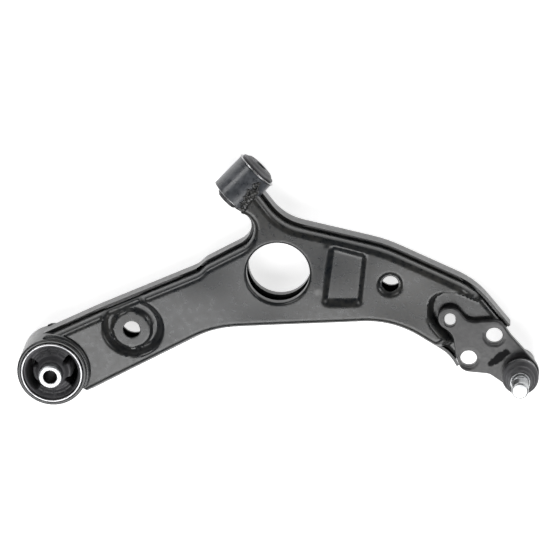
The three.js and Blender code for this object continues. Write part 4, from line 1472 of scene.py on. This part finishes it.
@dataclass
class RearBush:
    """The upright rear bush: housing ring, sleeve, voided rubber and inner sleeve."""

    finishes: Finishes
    housing_r: float = 37.5
    housing_wall: float = 4.0
    housing_z: tuple[float, float] = (2.5, 50.0)
    sleeve_wall: float = 2.1
    sleeve_z: tuple[float, float] = (3.5, 52.2)
    core_r: float = 12.5
    core_bore: float = 7.1
    core_top: float = 64.0
    fit: float = 0.35
    void_inner: float = 15.6
    void_outer: float = 27.6
    bump_r: float = 21.5
    pieces: list[Object] = field(default_factory=list)

    def housing(self) -> Object:
        """The housing ring."""
        bore, (low, high) = self.housing_r - self.housing_wall, self.housing_z
        mesh = spun(soft_profile([
            (bore, low, 0.8), (self.housing_r, low, 1.4), (self.housing_r, high, 1.8), (bore, high, 1.2),
        ], 15), 160)
        piece = finished("rear_housing", mesh, self.finishes.housing)
        return stand_for(piece, Body.ARM, "rear_bush_housing")

    def weld(self, node: str, face_z: float, up: float, size: float) -> Object:
        """The smooth fillet weld round the housing on the arm's side.

        Args:
            node: The solid it stands for.
            face_z: Height of the shell's face.
            up: 1 on the upper shell, -1 on the lower one.
            size: Leg of the fillet.

        Returns:
            The piece.
        """
        path, radii = [], []
        angles = np.radians(np.linspace(-31, 104, 130))
        for i, angle in enumerate(angles):
            ripple = 0.12 * math.sin(i * 1.55)
            radius = self.housing_r + 0.55
            path.append(Vector((radius * math.cos(angle), radius * math.sin(angle), face_z + up * 0.4)))
            end = min(1.0, i / 6, (len(angles) - 1 - i) / 6)
            radii.append(size * (0.25 + 0.62 * end) + ripple * 0.5)
        piece = finished(node + "_bead", swept(path, radii, 1.0, 20), self.finishes.weld, 60)
        return stand_for(piece, Body.ARM, node)

    def sleeve(self) -> Object:
        """The thin press-fit sleeve, proud of the housing."""
        outer, (low, high) = self.housing_r - self.housing_wall - self.fit, self.sleeve_z
        bore = outer - self.sleeve_wall
        mesh = spun(soft_profile([
            (bore, low, 0.4), (outer, low, 0.5), (outer, high, 0.8), (bore, high, 0.6),
        ], 18), 160)
        piece = finished("rear_pressed_sleeve", mesh, self.finishes.steel)
        return stand_for(piece, Body.ARM, "rear_bush_outer_sleeve")

    def void(self, middle: float) -> np.ndarray:
        """One kidney-shaped void with a bump stop in it.

        Args:
            middle: Direction of its middle, in degrees.

        Returns:
            Its loop.
        """
        half, bump = 42.0, 27.0

        def arc(radius: float, start: float, end: float, steps: int) -> list[Corner]:
            angles = np.radians(middle + np.linspace(start, end, steps))
            return [(radius * math.cos(a), radius * math.sin(a), 1.6) for a in angles]

        corners = arc(self.void_outer, -half, half, 7)
        corners += arc(self.void_inner, half * 0.93, bump * 1.12, 2)
        corners += arc(self.bump_r, bump * 0.8, -bump * 0.8, 4)
        corners += arc(self.void_inner, -bump * 1.12, -half * 0.93, 2)
        return rounded_loop(corners, 12.0)

    def rubber(self) -> Object:
        """The rubber with its blind voids."""
        outer = self.housing_r - self.housing_wall - 2 * self.fit - self.sleeve_wall
        inner = self.core_r + self.fit
        low, high = self.sleeve_z
        voids = [self.void(3.5), self.void(189.5)]

        def hollow(points: np.ndarray) -> np.ndarray:
            return eased(np.maximum(*(depth_inside(points, loop) for loop in voids)), -0.5, 0.9)

        def top(points: np.ndarray) -> np.ndarray:
            radius = np.linalg.norm(points, axis=1)
            angle = np.degrees(np.arctan2(points[:, 1], points[:, 0]))
            dish = np.interp(
                radius, (inner, inner + 2.2, 17.5, 22, 26, 27.6, 29.0, outer),
                high - np.array((-1.2, 0.2, 6, 8.5, 7.2, 4.8, 3.6, 3.4)),
            )
            ribs = 0.9 * np.exp(-(((radius - 24.6) / 0.9) ** 2))
            ribs += 0.6 * np.exp(-(((radius - 19.4) / 0.8) ** 2))
            spokes = np.abs(((angle - 96 + 13) % 26) - 13)
            fan = np.abs((angle - 96 + 180) % 360 - 180) < 48
            fan |= np.abs((angle + 83 + 180) % 360 - 180) < 42
            reach = eased(radius, 18, 20) * eased(-radius, -28, -26) * fan
            ribs += 1.1 * np.exp(-((spokes / 2.4) ** 2)) * reach
            return (dish + ribs) * (1 - hollow(points)) + (low + 9) * hollow(points)

        def bottom(points: np.ndarray) -> np.ndarray:
            radius = np.linalg.norm(points, axis=1)
            dish = np.interp(
                radius, (inner, inner + 3, 20, 26, outer), (low + 2, low + 3, low + 8, low + 5, low + 3)
            )
            return dish * (1 - hollow(points)) + (low + 6.5) * hollow(points)

        loops = [circle_loop(0, 0, outer, 120), circle_loop(0, 0, inner, 72)]
        piece = finished("rear_rubber", slab(loops, 0.7, top, bottom), self.finishes.rubber, 50)
        centre = LAYOUT.row((0, 0, 27))
        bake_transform(piece)
        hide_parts("rear_bush_rubber")
        return piece

    def core(self) -> Object:
        """The bright inner sleeve."""
        mesh = spun(soft_profile([
            (self.core_bore, 0, 0.8), (self.core_r, 0, 0.8), (self.core_r, self.core_top, 1.2),
            (self.core_bore, self.core_top, 1.1),
        ], 18), 128)
        piece = finished("rear_inner_sleeve", mesh, self.finishes.zinc)
        piece.data.materials.append(self.finishes.phosphate)
        for face in piece.data.polygons:
            away = (face.center - LAYOUT.shift).to_2d().length / MM
            face.material_index = int(away < self.core_bore + 0.25)
        return stand_for(piece, Body.REAR_INNER, "rear_bush_inner_sleeve")

    def build(self) -> None:
        """Builds the rear bush."""
        self.pieces = [
            self.housing(), self.weld("rear_housing_weld_upper", 44.0, 1, 3.8),
            self.weld("rear_housing_weld_lower", 5.0, -1, 2.0), self.sleeve(), self.rubber(), self.core(),
        ]


# ---- ball joint ----------------------------------------------------------------------------------


@dataclass
class BallJoint:
    """The forged bracket with its cartridge, stud, boot and rings."""

    finishes: Finishes
    bracket_z: tuple[float, float] = (27.35, 35.35)
    edge: float = 1.4
    ring_r: float = 20.0
    bolt_r: float = 8.9
    cartridge_r: float = 15.6
    flange_r: float = 18.4
    flange_z: tuple[float, float] = (35.7, 39.7)
    ball_r: float = 11.0
    stud_r: float = 9.0
    stud_top: float = 87.5
    neck_z: float = 63.5
    pieces: list[Object] = field(default_factory=list)

    def placed(self, mesh: BMesh) -> BMesh:
        """Moves a mesh drawn about +Z onto the stud's axis."""
        bmesh.ops.translate(mesh, vec=(LAYOUT.ball.x, LAYOUT.ball.y, 0), verts=mesh.verts)
        return mesh

    def bracket(self) -> Object:
        """The forged bracket, with rounded edges and a spot face round each bolt hole."""
        ball = LAYOUT.from_ball
        turns = np.radians(np.arange(44, -134, -6))
        arc = [ball(self.ring_r * math.cos(a), self.ring_r * math.sin(a)) for a in turns]
        outline = rounded_loop([
            ball(-69, 74, 13), ball(-56, 57, 14), ball(-22, 60, 13), ball(-10, 42, 12), *arc,
            ball(-33, -1, 14), ball(-63, 1.5, 12), ball(-69, 20, 12), ball(-72, 43, 16),
            ball(-88, 54, 11), ball(-88, 72, 11),
        ], 6.0)
        slot_x, slot_y, _ = ball(-75, 59)
        slot = rounded_loop([
            (slot_x + sx * 5.9, slot_y + sy * 7.6, 5.8) for sx, sy in ((-1, -1), (1, -1), (1, 1), (-1, 1))
        ], 8.0)
        bolts = [ball(-28, 42, self.bolt_r), ball(-55, 16, self.bolt_r)]
        seat = (LAYOUT.ball.x, LAYOUT.ball.y, self.cartridge_r + 0.35)
        loops = [inset_loop(outline, self.edge), inset_loop(slot, -0.5)]
        loops += [circle_loop(x, y, r + 0.5, 64) for x, y, r in (*bolts, seat)]
        mesh = filled(loops, 1.15)
        top, middle = self.bracket_z[1], sum(self.bracket_z) / 2

        def surface(points: np.ndarray) -> np.ndarray:
            height = np.full(len(points), top)
            for x, y, r in bolts:
                away = np.linalg.norm(points - (x, y), axis=1)
                height -= 0.4 * eased(-away, -r - 3.2, -r - 2.4)
                height += 0.22 * np.exp(-(((away - r - 3.9) / 0.6) ** 2))
            away = np.linalg.norm(points - (slot_x, slot_y), axis=1)
            height += 0.25 * np.exp(-(((away - 10.6) / 0.7) ** 2))
            wave = np.sin(points[:, 0] * 0.21 + 1.0) * np.sin(points[:, 1] * 0.17)
            return np.minimum(height + 0.06 * wave, top)

        raise_to(mesh, mesh.verts, surface)
        bores = [(Vector(seat[:2]), seat[2] + 0.5), *((Vector((x, y)), r + 0.5) for x, y, r in bolts)]

        def in_bore(p: Vector) -> bool:
            spot = Vector((p.x, p.y))
            round_hole = any(abs((spot - centre).length - radius) < 0.35 for centre, radius in bores)
            return round_hole or (spot - Vector((slot_x, slot_y))).length < 9.0

        outer = rim_edges(mesh, lambda p: not in_bore(p))
        inner = rim_edges(mesh, in_bore)
        for rim, size in ((outer, self.edge), (inner, 0.5)):
            places = [
                (lambda at, a=a, size=size: (size * math.sin(a), at.z - size * (1 - math.cos(a))))
                for a in np.radians((22, 45, 68, 90))
            ]
            places.append(lambda at, size=size: (size, middle))
            hem(mesh, rim, places)
        other = bmesh.ops.duplicate(mesh, geom=mesh.faces[:])["geom"]
        for vert in (g for g in other if isinstance(g, BMVert)):
            vert.co.z = 2 * middle - vert.co.z
        bmesh.ops.reverse_faces(mesh, faces=[g for g in other if isinstance(g, BMFace)])
        bmesh.ops.remove_doubles(mesh, verts=mesh.verts, dist=1e-3)
        bmesh.ops.recalc_face_normals(mesh, faces=mesh.faces)
        piece = finished("forged_bracket", mesh, self.finishes.forged, 40)
        return stand_for(piece, Body.ARM, "ball_joint_bracket")

    def bead(self) -> Object:
        """The weld under the bracket at the shells' cut end."""
        a, b = Vector(LAYOUT.from_ball(-28, 42)[:2]), Vector(LAYOUT.from_ball(-55, 16)[:2])
        end, turn = Vector(LAYOUT.from_ball(-45, 23)[:2]), math.radians(-50)
        out, along, middle = Vector((math.cos(turn), math.sin(turn))), (a - b).normalized(), (a + b) / 2
        base = middle + out * ((end - middle).dot(out) + 1.2)
        path = [Vector((*(base + along * t), 25.6)) for t in np.linspace(-6, 6, 25)]
        radii = [0.5 + 2.1 * min(1, i / 4, (24 - i) / 4) * (1 + 0.09 * math.sin(i * 1.6)) for i in range(25)]
        piece = finished("bracket_weld_bead", swept(path, radii, 0.62, 14), self.finishes.weld, 60)
        return stand_for(piece, Body.ARM, "bracket_weld")

    def cartridge(self) -> Object:
        """The pressed-in cartridge with its flange."""
        bore, r, top = 13.9, self.cartridge_r, self.flange_z[1]
        mesh = spun(soft_profile([
            (bore, 0.2, 0.6), (r, 0, 1.2), (r, 24.85, 0.1), (r - 0.9, 24.85, 0.2),
            (r - 0.9, 27.2, 0.2), (r, 27.2, 0.1),
            (r, self.flange_z[0], 0.1), (self.flange_r, self.flange_z[0], 0.4), (self.flange_r, top, 1.0),
            (13.3, top, 0.5), (10.9, 33.95, 0.8), (10.9, 31.35, 0.3), (bore, 31.35, 0.3),
        ], 18), 112)
        piece = finished("joint_cartridge", self.placed(mesh), self.finishes.housing)
        return stand_for(piece, Body.ARM, "ball_joint_cartridge")

    def clip(self) -> Object:
        """The open circlip under the bracket."""
        inner = self.cartridge_r - 0.9 + 0.35
        mesh = bmesh.new()
        rim = inner + 3.2
        section = [(inner, 25.2, 0.3), (rim, 25.2, 0.4), (rim, 27.0, 0.4), (inner, 27.0, 0.3)]
        ring = rounded_loop(section, 22)
        verts = [mesh.verts.new((r, 0, z)) for r, z in ring]
        face = mesh.faces.new(verts)
        gap = math.radians(16)
        bmesh.ops.rotate(mesh, cent=(0, 0, 0), matrix=Matrix.Rotation(gap, 3, "Z"), verts=verts)
        turn = {"cent": (0, 0, 0), "axis": (0, 0, 1), "angle": 2 * (math.pi - gap)}
        bmesh.ops.spin(mesh, geom=[face, *face.edges, *verts], steps=80, **turn)
        bmesh.ops.remove_doubles(mesh, verts=mesh.verts, dist=1e-4)
        open_ends = [e for e in mesh.edges if len(e.link_faces) == 1]
        if open_ends:
            bmesh.ops.holes_fill(mesh, edges=open_ends, sides=0)
        bmesh.ops.recalc_face_normals(mesh, faces=mesh.faces)
        piece = finished("retaining_circlip", self.placed(mesh), self.finishes.steel)
        return stand_for(piece, Body.ARM, "ball_joint_circlip")

    def seat(self) -> Object:
        """The plastic seat round the ball."""
        hollow, outer = self.ball_r + 0.35, 13.55
        centre, top = LAYOUT.ball.z, 31.0
        rise = math.asin((top - centre) / hollow)
        ball_side = [
            (hollow * math.cos(a), centre + hollow * math.sin(a), 0.0)
            for a in np.linspace(rise, -math.radians(74), 22)
        ]
        section = [(outer, 5.95, 0.6), (outer, top, 0.4), *ball_side, (3.0, 5.95, 0.3)]
        mesh = spun(soft_profile(section, 18), 96)
        piece = finished("ball_seat", self.placed(mesh), self.finishes.acetal)
        return stand_for(piece, Body.ARM, "ball_joint_seat")

    def cover(self) -> Object:
        """The domed cover plate rolled into the cartridge's foot."""
        mesh = spun([
            (0, 3.9), (7.2, 3.8), (8.6, 3.35), (9.9, 3.02), (12.9, 3.0), (13.5, 3.35),
            (13.5, 4.9), (13.0, 5.25), (10.3, 5.55), (0, 5.6),
        ], 96)
        piece = finished("cover_plate", self.placed(mesh), self.finishes.housing)
        return stand_for(piece, Body.ARM, "ball_joint_cover_plate")

    def stud(self) -> Object:
        """The ball stud with its clamp groove."""
        r, z, neck = self.stud_r, LAYOUT.ball.z, self.neck_z
        join = math.asin(6.2 / self.ball_r)
        ball = [
            (0.0 if i == 0 else self.ball_r * math.sin(a), z + self.ball_r * math.cos(a))
            for i, a in enumerate(np.linspace(math.pi, join, 30))
        ]
        pin = [
            (float(a), float(b)) for a, b in rounded_loop([
                (6.2, z + 14, 3), (7.0, z + 20, 6), (r - 0.4, neck - 8, 3), (r - 0.05, neck - 6, 1),
                (r - 0.05, neck + 4.6, 0.5), (r - 1.3, neck + 5.7, 1.0), (r - 1.3, neck + 9.5, 1.0),
                (r - 0.05, neck + 10.7, 0.5), (r - 0.05, self.stud_top, 1.9), (0.0, self.stud_top, 0),
                (0.0, z, 0),
            ], 12)
        ]
        pin = [p for p in pin if p[1] > z + 10 and p[0] > 0.0]
        mesh = spun([*ball, *pin, (0.0, self.stud_top)], 128)
        piece = finished("ball_stud_pin", self.placed(mesh), self.finishes.zinc)
        return stand_for(piece, Body.STUD, "ball_stud")

    def boot_wall(self) -> tuple[list[tuple[float, float]], list[tuple[float, float]]]:
        """The outer and inner faces of the boot from its foot to its neck.

        Returns:
            Both faces as radius and height, from the foot up.
        """
        z = self.flange_z[1] + 0.35
        outer = [
            (17.2, z), (17.2, z + 2.6), (18.3, z + 3.5), (19.1, z + 4.6), (19.55, z + 6.2), (19.4, z + 8.0),
            (18.7, z + 9.6), (17.2, z + 11.0), (15.7, z + 11.9), (14.9, z + 12.8), (14.9, z + 13.6),
            (15.4, z + 14.6), (15.2, z + 15.8), (14.2, z + 17.0), (12.9, z + 17.9), (12.4, z + 18.9),
            (12.0, self.neck_z - 4.0), (11.2, self.neck_z - 2.7), (9.35, self.neck_z - 2.45),
        ]
        inner = [
            (15.6, z), (15.6, z + 3.6), (16.7, z + 4.6), (17.8, z + 6.0), (17.8, z + 7.8), (17.0, z + 9.0),
            (15.6, z + 10.0), (14.2, z + 10.9), (13.3, z + 12.2), (13.2, z + 13.6), (13.6, z + 14.8),
            (12.9, z + 15.8), (11.6, z + 16.6), (10.5, self.neck_z - 5.6), (9.35, self.neck_z - 4.8),
        ]
        return outer, inner

    def boot(self) -> list[Object]:
        """The dust boot in two joined folds.

        Returns:
            Both pieces.
        """
        outer, inner = (flowing(side) for side in self.boot_wall())
        foot = self.flange_z[1] + 0.35
        waist = foot + 6.2
        made = []
        for name, low, high, body_a, body_b, span in (
            ("boot_lower_fold", 0.0, waist, Body.ARM, Body.BOOT, (foot + 2.4, waist - 0.1)),
            ("boot_upper_fold", waist, 99.0, Body.BOOT, Body.BOOT_NECK, (waist + 0.1, self.neck_z - 6.5)),
        ):
            faces = []
            for side in (outer, inner):
                radii, heights = np.array(side).T
                middle = (float(np.interp(waist, heights, radii)), waist)
                kept = [(r, z) for r, z in side if low + 0.05 < z < high - 0.05]
                faces.append([*kept, middle] if low == 0 else [middle, *kept])
            mesh = spun([*faces[0], *reversed(faces[1])], 96)
            piece = finished(name, self.placed(mesh), self.finishes.boot, 60)
            start, end = (LAYOUT.row((LAYOUT.ball.x, LAYOUT.ball.y, height)) for height in span)
            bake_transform(piece)
            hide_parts("dust_boot")
            made.append(piece)
        return made

    def rings(self) -> list[Object]:
        """The wire ring at the boot's foot and the bright band at its neck.

        Returns:
            Both pieces.
        """
        z = self.flange_z[1] + 0.35
        foot = spun(soft_profile([
            (17.5, z + 0.45, 0.4), (18.6, z + 0.45, 0.5), (18.6, z + 2.3, 0.5), (17.5, z + 2.3, 0.4),
        ], 25), 112)
        neck = spun(soft_profile([
            (9.35, self.neck_z - 2.05, 0.3), (10.65, self.neck_z - 2.05, 0.3), (10.65, self.neck_z, 0.6),
            (9.35, self.neck_z, 0.3),
        ], 20), 112)
        lower = finished("boot_foot_ring", self.placed(foot), self.finishes.steel)
        upper = finished("boot_neck_band", self.placed(neck), self.finishes.zinc)
        return [
            stand_for(lower, Body.ARM, "boot_base_ring"),
            stand_for(upper, Body.BOOT_NECK, "boot_neck_ring"),
        ]

    def build(self) -> None:
        """Builds the ball joint."""
        self.pieces = [
            self.bracket(), self.bead(), self.cartridge(), self.clip(), self.seat(), self.cover(),
            self.stud(), *self.boot(), *self.rings(),
        ]


# ---- studio --------------------------------------------------------------------------------------


@dataclass(frozen=True)
class Softbox:
    """One area light.

    Attributes:
        name: The light's name.
        place: Where it is, in metres from the arm's middle.
        size: Its width and height, in metres.
        power: Its power, in watts.
    """

    name: str
    place: tuple[float, float, float]
    size: tuple[float, float]
    power: float


@dataclass(frozen=True)
class Studio:
    """The pale floor, the light and the camera."""

    boxes: tuple[Softbox, ...] = (
        Softbox("key_softbox", (-0.10, -0.72, 1.15), (1.5, 0.66), 13.5),
        Softbox("fill_softbox", (-0.95, 1.0, 1.0), (0.9, 0.5), 7.0),
        Softbox("edge_softbox", (1.3, 0.4, 0.8), (0.9, 0.4), 5.0),
    )

    def floor(self) -> Object:
        """Lays the plain pale floor."""
        mesh = bmesh.new()
        bmesh.ops.create_grid(mesh, x_segments=1, y_segments=1, size=4.0)
        bmesh.ops.translate(mesh, vec=(0, 0, -0.0008), verts=mesh.verts)
        data = bpy.data.meshes.new("floor")
        mesh.to_mesh(data)
        mesh.free()
        floor = bpy.data.objects.new("floor", data)
        bpy.context.scene.collection.objects.link(floor)
        shade = Shade("floor_paper")
        patches = shade.bench.noise(shade.place, 3.0)
        shade.feed("Base Color", shade.bench.mix(patches, (0.90, 0.90, 0.90), (0.92, 0.92, 0.92)))
        shade.set(Roughness=0.9, Specular_IOR_Level=0.1, Emission_Strength=0.75)
        shade.shader.inputs["Emission Color"].default_value = (1, 1, 1, 1)
        data.materials.append(shade.material)
        return floor

    def light(self) -> None:
        """Sets up the even surround and the softboxes."""
        world = bpy.data.worlds.new("studio")
        world.use_nodes = True
        bench = NodeBench(world.node_tree)
        surround = world.node_tree.nodes["Background"]
        split = bench.add("ShaderNodeSeparateXYZ")
        bench.link(bench.add("ShaderNodeTexCoord").outputs["Generated"], split.inputs["Vector"])
        bench.link(bench.spread(split.outputs["Z"], 0.35, 1.0, 0.10, 0.72), surround.inputs["Strength"])
        bpy.context.scene.world = world
        for box in self.boxes:
            data = bpy.data.lights.new(box.name, "AREA")
            data.shape = "RECTANGLE"
            data.size, data.size_y = box.size
            data.energy = box.power
            lamp = bpy.data.objects.new(box.name, data)
            lamp.location = box.place
            lamp.rotation_euler = (-Vector(box.place)).to_track_quat("-Z", "Y").to_euler()
            bpy.context.scene.collection.objects.link(lamp)
        bpy.context.scene.view_settings.view_transform = "Standard"

    def camera(self) -> None:
        """Sets up the camera: almost straight down on the arm, from a little towards its front bush."""
        back = Vector((0.071, 0.333, 0.940)).normalized()
        turn = Vector((0, 0, 1)).rotation_difference(back).to_matrix()
        target = LAYOUT.row((243.6, 102.2, 30.0))
        data = bpy.data.cameras.new("camera")
        data.sensor_width = 36.0
        data.lens = 3400.0 / 558.0 * 36.0
        data.clip_start, data.clip_end = 0.1, 50.0
        lens = bpy.data.objects.new("camera", data)
        lens.matrix_world = Matrix.Translation(target + back * 3.604) @ turn.to_4x4()
        bpy.context.scene.collection.objects.link(lens)
        bpy.context.scene.camera = lens

    def build(self) -> None:
        """Builds the studio."""
        self.floor()
        self.light()
        self.camera()


def main() -> None:
    """Builds the studio and every sub-assembly, and reports each piece."""
    logging.basicConfig(level=logging.INFO, format="%(message)s")
    Studio().build()
    finishes = Finishes()
    for assembly in (PressedArm(finishes), FrontBush(finishes), RearBush(finishes), BallJoint(finishes)):
        assembly.build()
        for piece in assembly.pieces:
            LOG.info("%s: %s, %d faces", type(assembly).__name__, piece.name, len(piece.data.polygons))


if __name__ == "__main__":
    main()
